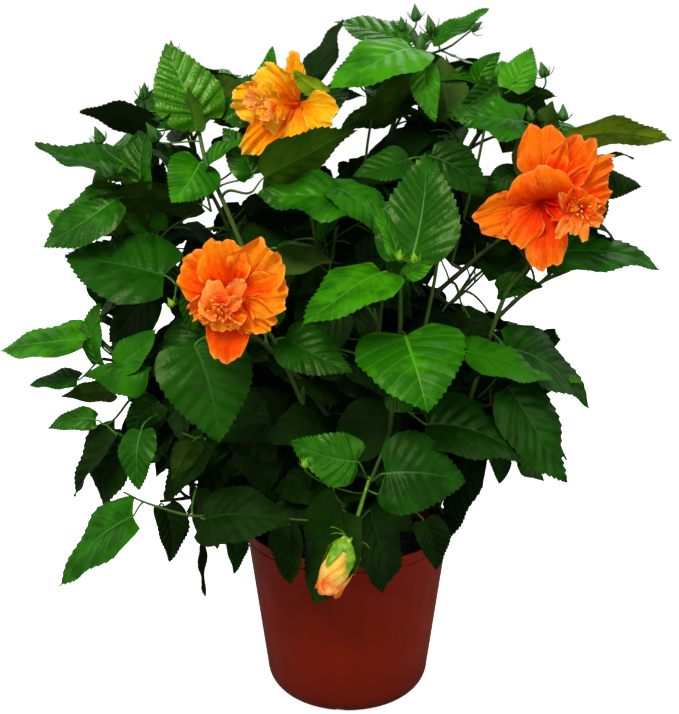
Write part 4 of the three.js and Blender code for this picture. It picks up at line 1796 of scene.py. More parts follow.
@dataclass
class Crown:
    """Everything that grows on from the limbs: twigs, leaf stalks and leaves."""

    masses: list[Mass]
    limbs: Limbs
    room: Room
    shoots_per_mass: int = 6
    node_spacing: tuple[float, float] = (0.019, 0.029)
    leaf_length: tuple[float, float] = (0.070, 0.105)
    seed: int = 19
    shoot_ends: list[tuple[Points, Points]] = field(default_factory=list)

    def __post_init__(self) -> None:
        """Starts with the limbs as the only wood."""
        self.twigs = Strands("twigs", TWIG.material(), 8)
        self.stalks = Strands("leaf_stalks", STALK.material(), 7)
        self.wood = [*self.limbs.stems, *self.limbs.boughs.values()]
        self.rng = np.random.default_rng(self.seed)
        self.zone_of = {mass: zone for zone, names in ZONES.items() for mass in names}
        self.leaves: dict[str, list[Leaf]] = {zone: [] for zone in ZONES}

    def nearest_wood(self, point: Points, lift: float = 0.3) -> tuple[Points, Points, float]:
        """The spot on the wood that a stalk to a point would best start from.

        Args:
            point: where the stalk ends.
            lift: how much wood above the point is shunned.

        Returns:
            The spot, the wood's direction there and its radius.
        """
        best, found = 1e9, None
        for limb in self.wood:
            gap = limb.path - point
            cost = np.linalg.norm(gap, axis=1) + lift * np.maximum(gap[:, 2], 0.0)
            i = int(cost.argmin())
            if cost[i] < best:
                share = i / max(len(limb.path) - 1, 1)
                radius = float(np.interp(share, np.linspace(0, 1, len(limb.radii)), limb.radii))
                best, found = cost[i], (limb.path[i], limb.direction(i), radius)
        return found

    def mass_at(self, point: Points) -> Mass:
        """The mass that is nearest to a point."""
        return min(self.masses, key=lambda mass: float(np.linalg.norm(mass.centre - point)))

    def hang(self, leaf: Leaf) -> None:
        """Adds a leaf to the zone whose mass is nearest to its middle, and ties it to the wood."""
        self.leaves[self.zone_of[self.mass_at(leaf.at(0.5)).name]].append(leaf)
        self.tie(leaf.foot, leaf.forward)

    def tie(self, foot: Points, forward: Points, thick: float = 0.0010) -> None:
        """Joins a leaf's foot to the nearest wood by a stalk, and by a twig first if the wood is far.

        Args:
            foot: the leaf's foot.
            forward: the blade's direction.
            thick: the stalk's radius at the foot.
        """
        for lift in (0.3, 1.5, -0.4, 3.0):
            spot, heading, radius = self.nearest_wood(foot, lift)
            gap = float(np.linalg.norm(foot - spot))
            leaving = unit(unit(foot - spot) + heading * 0.5) * gap
            if gap < 0.055:
                twig, stalk = None, arc(spot, leaving, foot, forward * gap * 0.55, 8)
            else:
                joint = foot - forward * 0.014 - UP * 0.008
                bend = unit(joint - spot + UP * 0.2 * gap)
                twig = arc(spot, leaving, joint, bend * gap, 12)
                stalk = arc(joint, bend * 0.02, foot, forward * 0.02, 6)
            if not self.room.hidden(stalk if twig is None else twig, openings=False):
                break
        if twig is not None:
            self.add_twig(twig, min(radius * 0.7, 0.0019), 0.0013)
        self.stalks.add(stalk, thick * 1.25, thick)

    def add_twig(self, path: Points, thick: float, thin: float) -> None:
        """Adds a twig to the wood."""
        self.twigs.add(path, thick, thin)
        self.wood.append(Limb("twig", path, np.array([thick, thin])))

    def lead(self, points: Sequence[Sequence[float]], thick: float, thin: float) -> None:
        """Adds a leading shoot and joins it to the wood.

        Args:
            points: the points that it passes through, in centimetres.
            thick: its radius at its foot, in millimetres.
            thin: its radius at its end, in millimetres.
        """
        path = through(np.array(points) / 100)
        spot, heading, _ = self.nearest_wood(path[0], 1.0)
        gap = float(np.linalg.norm(path[0] - spot))
        if gap > 0.004:
            joint = arc(spot, heading * gap, path[0], unit(path[1] - path[0]) * gap, 8)
            path = np.vstack([joint[:-1], path])
        self.add_twig(path, thick / 1000, thin / 1000)

    def place_leaves(self, placed: Iterable[Placed]) -> None:
        """Sets the leaves that have a place of their own and keeps the view of them clear.

        Args:
            placed: the leaves to set.
        """
        raised = []
        for spot in placed:
            leaf = spot.leaf(self.rng)
            self.room.take(leaf)
            radius = min(spot.half / 100, leaf.length * 0.3)
            raised += [Screen(leaf.at(share), radius) for share in (0.25, 0.6)]
            self.hang(leaf)
        self.room.screens += raised

    def tone(self, middle: Points, age: float) -> Tone:
        """The tone of a leaf.

        Args:
            middle: where the leaf is.
            age: its age on the shoot, 0 for the newest.

        Returns:
            The tone, the brighter the higher, the farther out and the newer the leaf is: newness is the
            leaf's age, while height and spread paint light and shade into it.
        """
        spread = float(np.hypot(middle[0], middle[1])) / 0.33
        # painted light and shade: higher and farther-out leaves take lighter paint
        light = 0.55 * (middle[2] - 0.22) / 0.5 + 0.5 * spread - 0.35 * age + self.rng.normal(0.0, 0.1)
        least = ((YOUNG, 0.86), (FRESH, 0.56), (DEEP, 0.22))
        return next((tone for tone, level in least if light > level), SHADE)

    def grow_leaf(self, node: Points, along: Points, turn: float, age: float, mass: Mass,
                  inner: bool = False) -> bool:
        """Grows one leaf from a node.

        Args:
            node: the point on the shoot.
            along: the shoot's direction.
            turn: the angle round the shoot, in radians.
            age: 0 at the shoot's tip to 1 at its foot.
            mass: the mass that the shoot grows in.
            inner: whether the leaf hangs inside the crown.

        Returns:
            Whether there was room for it.
        """
        rng = self.rng
        side = across_to(np.array((0.37, -0.21, 0.91)), along)
        low = float(smoothstep(0.62, 0.3, mass.centre[2]) if mass.centre[2] < 0.62 else 0.0)
        size = rng.uniform(*self.leaf_length) * (0.42 + 0.58 * float(smoothstep(-0.05, 0.4, age)))
        stalk = size * rng.uniform(0.2, 0.38)
        best, chosen = 0.009, None
        for attempt in range(7):
            radial = turned(side, along, turn + rng.normal(0.0, 0.18 + 0.25 * attempt))
            foot = node + (radial + along * (0.35 + 0.5 * (1.0 - age))) * stalk
            droop = rng.uniform(-0.1, 0.45) + 0.55 * low + (0.25 if inner else 0.0)
            forward = unit(radial + along * 0.35 + mass.outward * 0.4 - UP * droop)
            face = UP * (0.9 - 0.25 * low) + mass.outward * rng.uniform(0.2, 0.9) + along * 0.15
            face = face + rng.normal(0.0, 0.22, 3)
            form = rng.choice(INNER_FORMS if inner else OUTER_FORMS)
            wide, crinkle = rng.uniform(0.88, 1.12), rng.uniform(0.15, 0.9)
            leaf = Leaf(foot, forward, face, size, DEEP, form, wide, crinkle)
            ease = self.room.ease(leaf)
            if ease > best:
                best, chosen = ease, leaf
            if ease > 0.018:
                break
        if chosen is None:
            return False
        # inner leaves count as older, so they take darker paint: painted shade
        chosen.tone = self.tone(chosen.foot + chosen.forward * size * 0.5, age + (0.6 if inner else 0.0))
        self.leaves[self.zone_of[mass.name]].append(chosen)
        self.room.take(chosen)
        leaving = unit(unit(chosen.foot - node) + along * 0.6) * stalk
        self.stalks.add(arc(node, leaving, chosen.foot, chosen.forward * stalk, 6), 0.00125, 0.0009)
        return True

    def grow_shoot(self, path: Points, thick: float, mass: Mass, bare: float = 0.25) -> None:
        """Grows a shoot with leaves in a spiral round it; it ends at its last leaf.

        Args:
            path: the points along it.
            thick: its radius at its foot.
            mass: the mass that it grows in.
            bare: the share of its length that bears no leaf.
        """
        lengths = distances(path)
        far, turn, last = bare * lengths[-1], self.rng.uniform(0.0, 6.3), 0.0
        while far < lengths[-1]:
            node = np.array([np.interp(far, lengths, path[:, i]) for i in range(3)])
            i = min(int(np.searchsorted(lengths, far)), len(path) - 1)
            age = (lengths[-1] - far) / max(lengths[-1], 0.1)
            if self.room.hidden(node[None], openings=False):
                break
            if self.grow_leaf(node, unit(path[i] - path[i - 1]), turn, age, mass):
                last = far
            turn += GOLDEN_ANGLE
            far += self.rng.uniform(*self.node_spacing) * (0.55 + 0.45 * float(smoothstep(0.0, 0.3, age)))
        if last == 0.0:
            return
        whole = last > lengths[-1] - 0.03
        kept = path if whole else path[: max(int(np.searchsorted(lengths, last)) + 1, 3)]
        self.add_twig(kept, thick, 0.0010)
        if whole:
            self.shoot_ends.append((path[-1], unit(path[-1] - path[-2])))

    def fill(self) -> None:
        """Grows every mass: shoots that fan out from its bough, and leaves along the bough made darker by
        painted shade.
        """
        for place, mass in enumerate(self.masses):
            self.rng = np.random.default_rng((self.seed, place))
            bough = self.limbs.boughs[mass.name]
            count = len(bough.path)
            for number, tip in enumerate(mass.tips(self.shoots_per_mass, 0.66, self.rng)):
                self.rng = np.random.default_rng((self.seed, place, number))
                i = int((1.0 if number == 0 else self.rng.uniform(0.6, 0.98)) * (count - 1))
                start, heading = bough.path[i], bough.direction(i)
                gap = float(np.linalg.norm(tip - start))
                end = unit(unit(tip - mass.centre) + UP * 0.4)
                leaving, steps = unit(heading + unit(tip - start)) * gap, max(int(gap / 0.008), 6)
                path = arc(start, leaving, tip, end * gap, steps)
                self.grow_shoot(path, 0.0021, mass)
            self.rng = np.random.default_rng((self.seed, place, 99))
            turn = self.rng.uniform(0.0, 6.3)
            for i in range(int(count * 0.2), count, 2):
                self.grow_leaf(bough.path[i], bough.direction(i), turn, 1.0, mass, inner=True)
                turn += GOLDEN_ANGLE
            for i in (int(share * (count - 1)) for share in (0.3, 0.5, 0.7, 0.85)):
                self.rng = np.random.default_rng((self.seed, place, i + 100))
                self.inner_shoot(bough.path[i], bough.direction(i))
        for stem in self.limbs.stems:
            fine = Limb(stem.name, through(stem.path, 6), stem.radii)
            for i in range(int(len(fine.path) * 0.3), len(fine.path), 6):
                self.inner_shoot(fine.path[i], fine.direction(i))

    def inner_shoot(self, start: Points, heading: Points) -> None:
        """Grows a short shoot of leaves inside the crown, dark with painted shade.

        Args:
            start: where the shoot starts.
            heading: the way it grows.
        """
        rng = self.rng
        aside = turned(across_to(UP, heading), heading, rng.uniform(0.0, 6.3))
        out = unit(aside + UP * rng.uniform(0.1, 0.8))
        gap = rng.uniform(0.06, 0.13)
        end = start + out * gap
        mass, path = self.mass_at(end), arc(start, unit(heading + out) * gap, end, out * gap, 12)
        turn, last = rng.uniform(0.0, 6.3), 0
        for i in range(3, 13, 2):
            if self.grow_leaf(path[i], unit(path[i] - path[i - 1]), turn, 0.7, mass, inner=True):
                last = i
            turn += GOLDEN_ANGLE
        if last:
            self.add_twig(path[: last + 1], 0.0018, 0.0010)

    def heart_spots(self) -> Points:
        """A grid of spots over the heart of the plant, less those that an opening keeps clear.

        Returns:
            The spots, in the frame of the plant.
        """
        spots = [np.array((x, 0.0, z)) for z in np.arange(0.25, 0.71, 0.014)
                 for x in np.arange(-0.28, 0.24, 0.014)
                 if ((x + 0.02) / 0.26) ** 2 + ((z - 0.47) / 0.23) ** 2 < 1.0]
        return np.array([spot for spot in spots if not self.room.hidden(spot[None])])

    def close(self) -> None:
        """Hangs dark leaves at the back of the heart wherever the light would come through it; their
        shade-tone paint is painted shade.
        """
        rng, gaps = self.rng, self.heart_spots()
        rays = seen_flat(gaps)
        shut = np.zeros(len(rays), bool)
        for leaf in (leaf for leaves in self.leaves.values() for leaf in leaves):
            shut |= inside(rays, seen_flat(leaf.outline()))
        for i, gap in enumerate(gaps):
            if shut[i]:
                continue
            depth = rng.uniform(0.02, 0.1)
            middle = EYE_LEVEL + (gap - EYE_LEVEL) * (depth - EYE_LEVEL[1]) / -EYE_LEVEL[1]
            for size in (0.1, 0.09, 0.08, 0.07, 0.06, 0.05, 0.045, 0.04):
                forward = unit((rng.uniform(-1.0, 1.0), rng.uniform(0.0, 0.5), rng.uniform(-1.0, 0.1)))
                face = EYE_LEVEL - middle + rng.normal(0.0, 0.4, 3)
                form = rng.choice(INNER_FORMS)
                foot, wide = middle - forward * size / 2, rng.uniform(0.9, 1.2)
                # the shade tone is painted shade
                leaf = Leaf(foot, forward, face, size, SHADE, form, wide, 0.1)
                if not self.room.hidden(leaf.spread()):
                    self.hang(leaf)
                    shut |= inside(rays, seen_flat(leaf.outline()))
                    break
        log.info("heart closed: %d of %d sight lines", int(shut.sum()), len(shut))

    def build(self) -> None:
        """Makes the leaves of each zone one piece, and the twigs and the stalks one each."""
        kit = LeafKit()
        for zone, names in ZONES.items():
            piece = kit.build(f"leaves_{zone}", self.leaves[zone])
            stand_for(piece, [f"foliage_{name}" for name in names])
            log.info("%s: %d leaves", piece.name, len(self.leaves[zone]))
        for strands in (self.twigs, self.stalks):
            stand_for(strands.build())
            log.info("%s: %d", strands.name, len(strands.paths))


# ---------------------------------------------------------------- blooms and buds


@dataclass(frozen=True)
class Petal:
    """One petal: its turn round the bloom and its lean from the axis in degrees, its size in metres."""

    roll: float
    length: float
    width: float
    lean: float
    curl: float = 60.0
    ruffle: float = 0.05
    tint: float = 0.0
    cup: float = 0.2
    rise: float = 0.0
    pale: bool = False

    def blade(self, rng: Chance) -> tuple[Points, dict[str, Points]]:
        """The upper face of the petal along +Y, and what each point says about its place on it.

        Args:
            rng: where its creases are drawn from.

        Returns:
            The points, and a value for each by name.
        """
        fine = self.length > 0.042
        t = np.linspace(0.0, 1.0, 27 if fine else 15)[:, None]
        u = np.linspace(-1.0, 1.0, 31 if fine else 15)[None, :]
        a, b, c, d, e, f = rng.uniform(0.0, 6.3, 6)
        half = self.width / 2 * (0.13 + 0.87 * smoothstep(0.0, 0.7, t))
        x = half * u * (1.0 - 0.1 * t * u**2)
        lip = 0.008 * np.sin(23 * u + a) + 0.026 * np.sin(9 * u + b) + 0.03 * np.sin(4 * u + e)
        y = self.length * (t * (1.0 - 0.34 * t * np.abs(u) ** 3) + t**7 * lip)
        wave = t**2 * np.sin(6.5 * u + c) + 0.8 * t**4 * np.sin(15 * u + d + 2 * t)
        wave = wave + 0.5 * t**8 * np.sin(27 * u + b)
        wave = wave + 0.9 * u**4 * np.sin(9 * t + e + u) + 0.5 * u**6 * np.sin(22 * t + f)
        wave = wave + 0.4 * t * np.sin(5 * t + 4 * u + f) + 0.22 * np.sin(pi * t) * np.sin(19 * u + a)
        z = self.ruffle * self.length * wave + self.cup * half * u**2
        values = {"reach": t * (1.0 + 0.12 * np.abs(u) ** 3) + self.tint, "across": u + 0 * t,
                  "rim": np.maximum(t + 0 * u, np.abs(u) + 0 * t)}
        curl, twist = radians(self.curl), rng.uniform(-0.3, 0.3)
        grid = bent(np.stack([x, y, z], -1), lambda d: curl * (0.5 - np.clip(d / self.length, 0, 1)), twist)
        return grid, values


@dataclass
class Bud:
    """A closed bud: a pointed ribbed calyx in a ring of narrow bractlets."""

    foot: Points
    axis: Points
    length: float = 0.021
    radius: float = 0.0048
    seed: int = 0

    def __post_init__(self) -> None:
        """Finds two directions square to the bud's axis."""
        self.axis = unit(self.axis)
        self.side = across_to(np.array((0.3, 0.8, 0.2)), self.axis)
        self.other = np.cross(self.axis, self.side)

    def revolve(self, shares: Points, swell: Points, ribs: float, sides: int = 20) -> Shape:
        """A ribbed body turned about the bud's axis.

        Args:
            shares: where its rings are along the bud.
            swell: how wide each ring is, as a share of the bud's radius.
            ribs: how high its five ribs are.
            sides: how many sides it has.

        Returns:
            Points and faces.
        """
        waves = 1.0 + ribs * np.cos(5 * round_angles(sides)[None, :])
        path = self.foot + np.outer(shares, self.axis) * self.length
        return tube(path, self.radius * swell[:, None] * waves, sides)

    def wrapped(self, along: Points, radius: Points, turn: Points) -> Points:
        """A grid wrapped round the axis.

        Args:
            along: how far each point is along the axis.
            radius: how far it is from the axis.
            turn: its angle round the axis.

        Returns:
            The grid.
        """
        grid = self.foot + along[..., None] * self.axis + (radius * np.cos(turn))[..., None] * self.side
        return grid + (radius * np.sin(turn))[..., None] * self.other

    def bractlets(self, solid: Solid, count: int, length: float, spread: float) -> None:
        """Adds narrow curved bractlets round the foot.

        Args:
            solid: takes them.
            count: how many there are.
            length: how long they are.
            spread: how far they lean from the axis, in degrees.
        """
        rng = np.random.default_rng(self.seed + 500)
        t, u = np.linspace(0.0, 1.0, 8)[:, None], np.array([-1.0, 0.0, 1.0])[None, :]
        for i in range(count):
            radial = turned(self.side, self.axis, 2 * pi * i / count + rng.uniform(-0.3, 0.3))
            size = length * rng.uniform(0.75, 1.2)
            half = size * 0.075 * (1 - t) ** 0.6 * (0.5 + 0.5 * smoothstep(0, 0.2, t)) + 0.00012
            flat = np.stack([half * u, size * t + 0 * u, half * 0.5 * u**2 + 0 * t], -1)
            bend = rng.uniform(0.4, 1.4)
            blade = bent(flat, lambda d: bend * (d / size - 0.5) * 1.4)
            lean = leaning(self.axis, radial, radians(spread) + rng.uniform(-0.3, 0.3))
            base = self.foot + radial * self.radius * 0.35 + self.axis * self.length * 0.04
            solid.add_blade(blade @ lean.T + base, 0.0003)

    def closed(self, solid: Solid) -> None:
        """Adds a closed green bud.

        Args:
            solid: the mesh to add it to.
        """
        t = np.linspace(0.0, 1.0, 16)
        swell = np.clip(np.sin(pi * t**0.62), 0, 1) ** 0.85 * (1 - 0.45 * t) * 1.25 + 0.05 * (1 - t) + 0.02
        solid.add(*self.revolve(t, swell, 0.07))
        self.bractlets(solid, 7, self.length * 0.8, 34.0)

    def cup(self, solid: Solid) -> None:
        """Adds the open cup behind a bloom.

        Args:
            solid: the mesh to add it to.
        """
        t = np.linspace(0.0, 1.0, 12)
        swell = 0.35 + 0.75 * smoothstep(0.0, 0.6, t) - 0.25 * smoothstep(0.8, 1.0, t)
        solid.add(*self.revolve(t, swell, 0.08))
        s, u = np.linspace(0.0, 1.0, 8)[:, None], np.linspace(-1.0, 1.0, 5)[None, :]
        half = 0.0052 * (1 - s) ** 0.7 + 0.0001
        flat = np.stack([half * u, 0.02 * s + 0 * u, 0.12 * half * u**2 + 0 * s], -1)
        blade = bent(flat, lambda d: 0.5 - d * 45.0)
        for i in range(5):
            radial = turned(self.side, self.axis, 2 * pi * i / 5)
            lean = frame_of(self.axis * 0.6 + radial * 0.8, self.axis * 0.8 - radial * 0.6)
            base = self.foot + self.axis * self.length * 0.8 + radial * self.radius * 0.9
            solid.add_blade(blade @ lean.T + base, 0.0004)
        self.bractlets(solid, 7, 0.014, 60.0)

    def unfurling(self, green: Solid, petals: Solid) -> None:
        """Adds a bud whose wound petals stand out of its split calyx.

        Args:
            green: takes the calyx and the bractlets.
            petals: takes the petals.
        """
        rng = np.random.default_rng(self.seed)
        s, u = np.linspace(0.0, 1.0, 26)[:, None], np.linspace(0.0, 1.0, 19)[None, :]
        for i in range(5):
            reach = self.length * rng.uniform(0.9, 1.04)
            turn = 2 * pi * (i / 5 + 0.52 * u + 0.32 * s)
            swell = np.sin(pi * (0.12 + 0.64 * s)) ** 0.8
            radius = self.radius * swell * (0.74 + 0.34 * u**1.5) + 0.0012 * s**6 * np.sin(26 * u + i)
            radius = radius + 0.0022 * smoothstep(0.86, 1.0, s) * np.sin(3.1 * u)
            along = reach * (0.06 + 0.94 * s - 0.10 * s**3 * (2 * u - 1) ** 2)
            along = along + 0.0015 * s**4 * np.sin(17 * u + 2 * i)
            far, wide = s + 0 * u, u[:, ::-1] + 0 * s
            petals.add_blade(self.wrapped(along, radius, turn)[:, ::-1], 0.0004, PETAL_SLOTS[FURLED],
                             reach=far, across=wide, rim=np.maximum(far, wide))
        t, v = np.linspace(0.0, 1.0, 12), np.linspace(-1.0, 1.0, 9)[None, :]
        cup = Bud(self.foot, self.axis, self.length * 0.26, self.radius * 0.88, self.seed)
        green.add(*cup.revolve(t, 0.14 + 0.98 * np.sin(pi / 2 * t) ** 1.2, 0.05, sides=40))
        share = 0.05 + 0.56 * s
        for i in range(5):
            turn = 2 * pi * (i / 5 + 0.1 * v * (1.0 - s) ** 0.8 + 0.015 * np.sin(3 * s + i))
            radius = self.radius * (0.42 + 0.74 * smoothstep(0.0, 0.34, share))
            radius = radius + 0.0016 * s**3 - 0.0006 * v**2
            green.add_blade(self.wrapped(self.length * share, radius, turn)[:-1], 0.0005)
        self.bractlets(green, 8, 0.018, 80.0)


def bean(middle: Points, along: Points, size: float) -> Shape:
    """A small grooved kidney shape.

    Args:
        middle: where it is.
        along: which way it lies.
        size: its size.

    Returns:
        Points and faces.
    """
    t = np.linspace(-0.92, 0.92, 5)
    bend = np.cross(along, across_to(np.array((0.2, 0.5, 0.8)), along))
    path = middle + np.outer(t, along) * size * 1.3 + np.outer(t**2, bend) * size * 0.6
    radii = size * 0.75 * np.sqrt(1 - t**2)[:, None] * (1 - 0.25 * np.cos(round_angles(6)) ** 8)
    return tube(path, radii, 6)


@dataclass
class Bloom:
    """A double bloom: broad outer petals, a column with a crumpled heart of small petals, and stamens."""

    throat: Points
    axis: Points
    paint: PetalPaint
    petals: tuple[Petal, ...]
    heart: tuple[Petal, ...] = ()
    head: tuple[float, float, float] = (0.0, 0.0, 0.034)
    crumples: int = 6
    seed: int = 1
    stamens: int = 30

    def __post_init__(self) -> None:
        """Puts the throat in metres and gives the axis unit length."""
        self.throat, self.axis = np.array(self.throat) * 0.01, unit(self.axis)

    def set_petal(self, corolla: Solid, petal: Petal, base: Points, axes: Sequence[Points],
                  rng: Chance) -> None:
        """Adds one petal.

        Args:
            corolla: takes it.
            petal: the petal.
            base: where it springs from.
            axes: the axis that it springs about, with the top and the right of it.
            rng: the source of chance.
        """
        axis, top, right = axes
        blade, values = petal.blade(rng)
        roll = radians(petal.roll)
        radial = top * cos(roll) + right * sin(roll)
        turn = leaning(axis, radial, radians(petal.lean))
        slot = PETAL_SLOTS[PEACH if petal.pale else self.paint]
        corolla.add_blade(blade @ turn.T + base + radial * 0.002, 0.00045, slot, **values)

    def crumpled(self, number: int, rng: Chance) -> Petal:
        """One of the small seeded petals of the heart.

        Args:
            number: which of them it is.
            rng: where its chances are drawn from.

        Returns:
            The petal.
        """
        return Petal(
            roll=137.5 * number + rng.uniform(-25, 25), length=rng.uniform(0.016, 0.030),
            width=rng.uniform(0.016, 0.026), lean=rng.uniform(25, 75), curl=rng.uniform(20, 110),
            ruffle=rng.uniform(0.06, 0.11), tint=rng.uniform(-0.15, 0.3), cup=rng.uniform(0.3, 0.8),
            rise=rng.uniform(0.3, 0.8), pale=number % 2 == 1,
        )

    def build(self, corolla: Solid, filaments: Strands, anthers: Solid, calyx: Solid) -> None:
        """Adds the bloom's parts to the solids that hold them.

        Args:
            corolla: takes the petals.
            filaments: takes the threads of the stamens.
            anthers: takes the stamens' heads.
            calyx: takes the green cup behind.
        """
        rng, axis = np.random.default_rng(self.seed), self.axis
        top = across_to(UP, axis)
        right = np.cross(top, axis)
        for petal in self.petals:
            self.set_petal(corolla, petal, self.throat, (axis, top, right), rng)
        head = self.throat + right * self.head[0] + top * self.head[1] + axis * self.head[2]
        column, reach = unit(head - self.throat), float(np.linalg.norm(head - self.throat))
        side = across_to(top, column)
        other = np.cross(side, column)
        crumpled = [self.crumpled(number, rng) for number in range(self.crumples)]
        for facing, petals in (((axis, top, right), self.heart), ((column, side, other), crumpled)):
            for petal in petals:
                self.set_petal(corolla, petal, self.throat + column * reach * petal.rise, facing, rng)
        for i in range(self.stamens):
            ring = side * cos(GOLDEN_ANGLE * i) + other * sin(GOLDEN_ANGLE * i)
            share = i / self.stamens
            start = self.throat + column * reach * (0.6 + 0.4 * share)
            out = (0.014 - 0.006 * share) * rng.uniform(0.6, 1.2)
            end = start + ring * out + column * rng.uniform(0.004, 0.014)
            filaments.add(arc(start, ring * 0.008, end, ring * 0.004 + column * 0.005, 4), 0.00034, 0.00024)
            anthers.add(*bean(end, unit(ring + column + rng.normal(0, 0.4, 3)), 0.0019))
        stem = arc(self.throat, axis * reach, head, column * reach, 8)
        points, faces = tube(stem, np.linspace(0.002, 0.001, len(stem)), 8)
        still = points[:, 0] * 0
        corolla.add(points, faces, PETAL_SLOTS[self.paint], reach=still, across=still, rim=still)
        Bud(self.throat - axis * 0.027, axis, 0.024, 0.0075, self.seed).cup(calyx)


def petal_ring(*rows: tuple) -> tuple[Petal, ...]:
    """Petals from rows in the order of a petal's fields, with the length and the width in millimetres."""
    return tuple(Petal(roll, length / 1000, width / 1000, *rest) for roll, length, width, *rest in rows)


LEFT_PETALS = petal_ring(
    (-54, 60, 62, 78, 30, 0.05, -0.1), (-10, 64, 58, 68, 45, 0.055, 0.05),
    (40, 69, 62, 74, 35, 0.055, 0.1), (84, 60, 52, 74, 40, 0.04, 0.2), (122, 55, 36, 70, 50, 0.06, 0.42),
    (184, 67, 48, 72, 40, 0.04, -0.25), (-114, 52, 36, 66, 95, 0.07, -0.1),
    (150, 44, 34, 62, 60, 0.07, -0.1),
)
LEFT_HEART = petal_ring(
    (-12, 34, 30, 58, 70, 0.06, 0.1, 0.7, 0.62, True), (-75, 27, 30, 55, 80, 0.07, 0.0, 0.8, 0.6, True),
    (40, 36, 20, 62, 60, 0.08, 0.2, 0.5, 0.4, True), (66, 30, 18, 50, 60, 0.06, 0.3, 0.6, 0.6, True),
    (178, 26, 30, 60, 60, 0.09, 0.1, 0.5, 0.6), (120, 30, 26, 58, 60, 0.1, -0.1, 0.5, 0.5),
    (-118, 26, 24, 64, 70, 0.09, 0.0, 0.5, 0.6), (150, 30, 22, 44, 40, 0.09, -0.1, 0.5, 0.2),
)
TOP_PETALS = petal_ring(
    (100, 50, 44, 74, 40, 0.03, 0.42), (188, 40, 62, 66, 40, 0.04, 0.2),
    (-134, 76, 38, 70, 40, 0.05, -0.05), (-88, 70, 52, 74, 35, 0.035, 0.38),
    (-48, 55, 52, 66, 60, 0.07, 0.25), (2, 53, 26, 76, 40, 0.06, 0.4),
)
TOP_HEART = petal_ring(
    (-20, 28, 26, 54, 70, 0.08, 0.3, 0.6, 0.55), (-70, 24, 20, 50, 70, 0.08, 0.4, 0.6, 0.85, True),
    (178, 24, 24, 50, 60, 0.08, 0.2, 0.6, 0.5), (-150, 26, 24, 56, 60, 0.08, 0.1, 0.5, 0.6),
    (-88, 40, 32, 44, 34, 0.08, 0.1, 0.4, 0.0), (-104, 30, 26, 50, 60, 0.1, 0.5, 0.5, 0.4),
)
RIGHT_PETALS = petal_ring(
    (-109, 75, 54, 73, 30, 0.03, 0.15), (-14, 54, 78, 50, 112, 0.03, 0.0),
    (-3, 81, 58, 82, 30, 0.045, 0.22), (33, 83, 50, 78, 40, 0.06, -0.05), (57, 86, 30, 78, 45, 0.06, 0.1),
    (74, 74, 48, 76, 50, 0.06, -0.15), (98, 68, 36, 72, 50, 0.06, -0.15),
    (176, 74, 52, 70, 40, 0.02, -0.1), (-142, 60, 42, 62, 40, 0.05, -0.05),
)
RIGHT_HEART = petal_ring(
    (-28, 30, 14, 40, 60, 0.05, 0.1, 0.6, 0.6, True), (8, 28, 28, 60, 80, 0.08, -0.2, 0.5, 0.7),
    (95, 24, 24, 60, 80, 0.09, -0.1, 0.5, 0.8), (114, 30, 18, 66, 60, 0.08, 0.1, 0.6, 0.8, True),
    (168, 32, 15, 66, 50, 0.06, 0.3, 0.5, 0.85, True), (-146, 36, 16, 66, 60, 0.06, 0.2, 0.5, 0.75, True),
    (-168, 28, 15, 58, 60, 0.07, 0.1, 0.5, 0.8, True), (45, 24, 22, 55, 80, 0.09, 0.0, 0.5, 0.85),
    (100, 46, 34, 45, 30, 0.07, -0.3, 0.4, 0.0), (82, 36, 24, 40, 50, 0.09, -0.1, 0.5, 0.3),
)
ROUND_PETALS = tuple(
    Petal(62 * i, 0.074 - 0.003 * (i % 3), 0.064, 62 + 5 * (i % 2), 50, 0.045, 0.05 * i) for i in range(6)
)


BLOOMS = (
    Bloom((-11.6, -22, 56.5), aim(-6, 8), SUNSET, LEFT_PETALS, LEFT_HEART, (-0.011, -0.014, 0.032), 5, 3),
    Bloom((-5.1, -12.5, 74.9), aim(-22, 0), AMBER, TOP_PETALS, TOP_HEART, (-0.034, 0.002, 0.022), 2, 4),
    Bloom((20.9, -12.5, 64.6), aim(-6, 4), CORAL, RIGHT_PETALS, RIGHT_HEART, (0.044, -0.008, 0.032), 4, 5),
    Bloom((-16.2, 26, 43.6), aim(-165, 25), SUNSET, ROUND_PETALS, crumples=14, seed=6),
    Bloom((9.0, 26.5, 30.0), aim(178, 20), CORAL, ROUND_PETALS, crumples=14, seed=7),
)
# the green buds at the tips of the upper shoots, the small bright buds and the side buds, in centimetres
TIP_BUDS = ((-22, -8, 74.8), (-26.6, -9, 70.2), (7.7, 0, 82.6), (9.5, 0, 81.3), (8.1, -2, 79.4),
            (22, -3, 76.7), (23.7, -6, 72.2), (20.3, -6, 72.2), (1.4, -3, 76))
BRIGHT_BUDS = ((-4.5, -25, 39), (5.2, -22, 60.2), (6.8, -22.5, 60), (5, -22, 34.5), (-19, -13, 53))
SIDE_BUDS = ((-20.0, -12, 70.9), (-25.3, -11, 66.9))


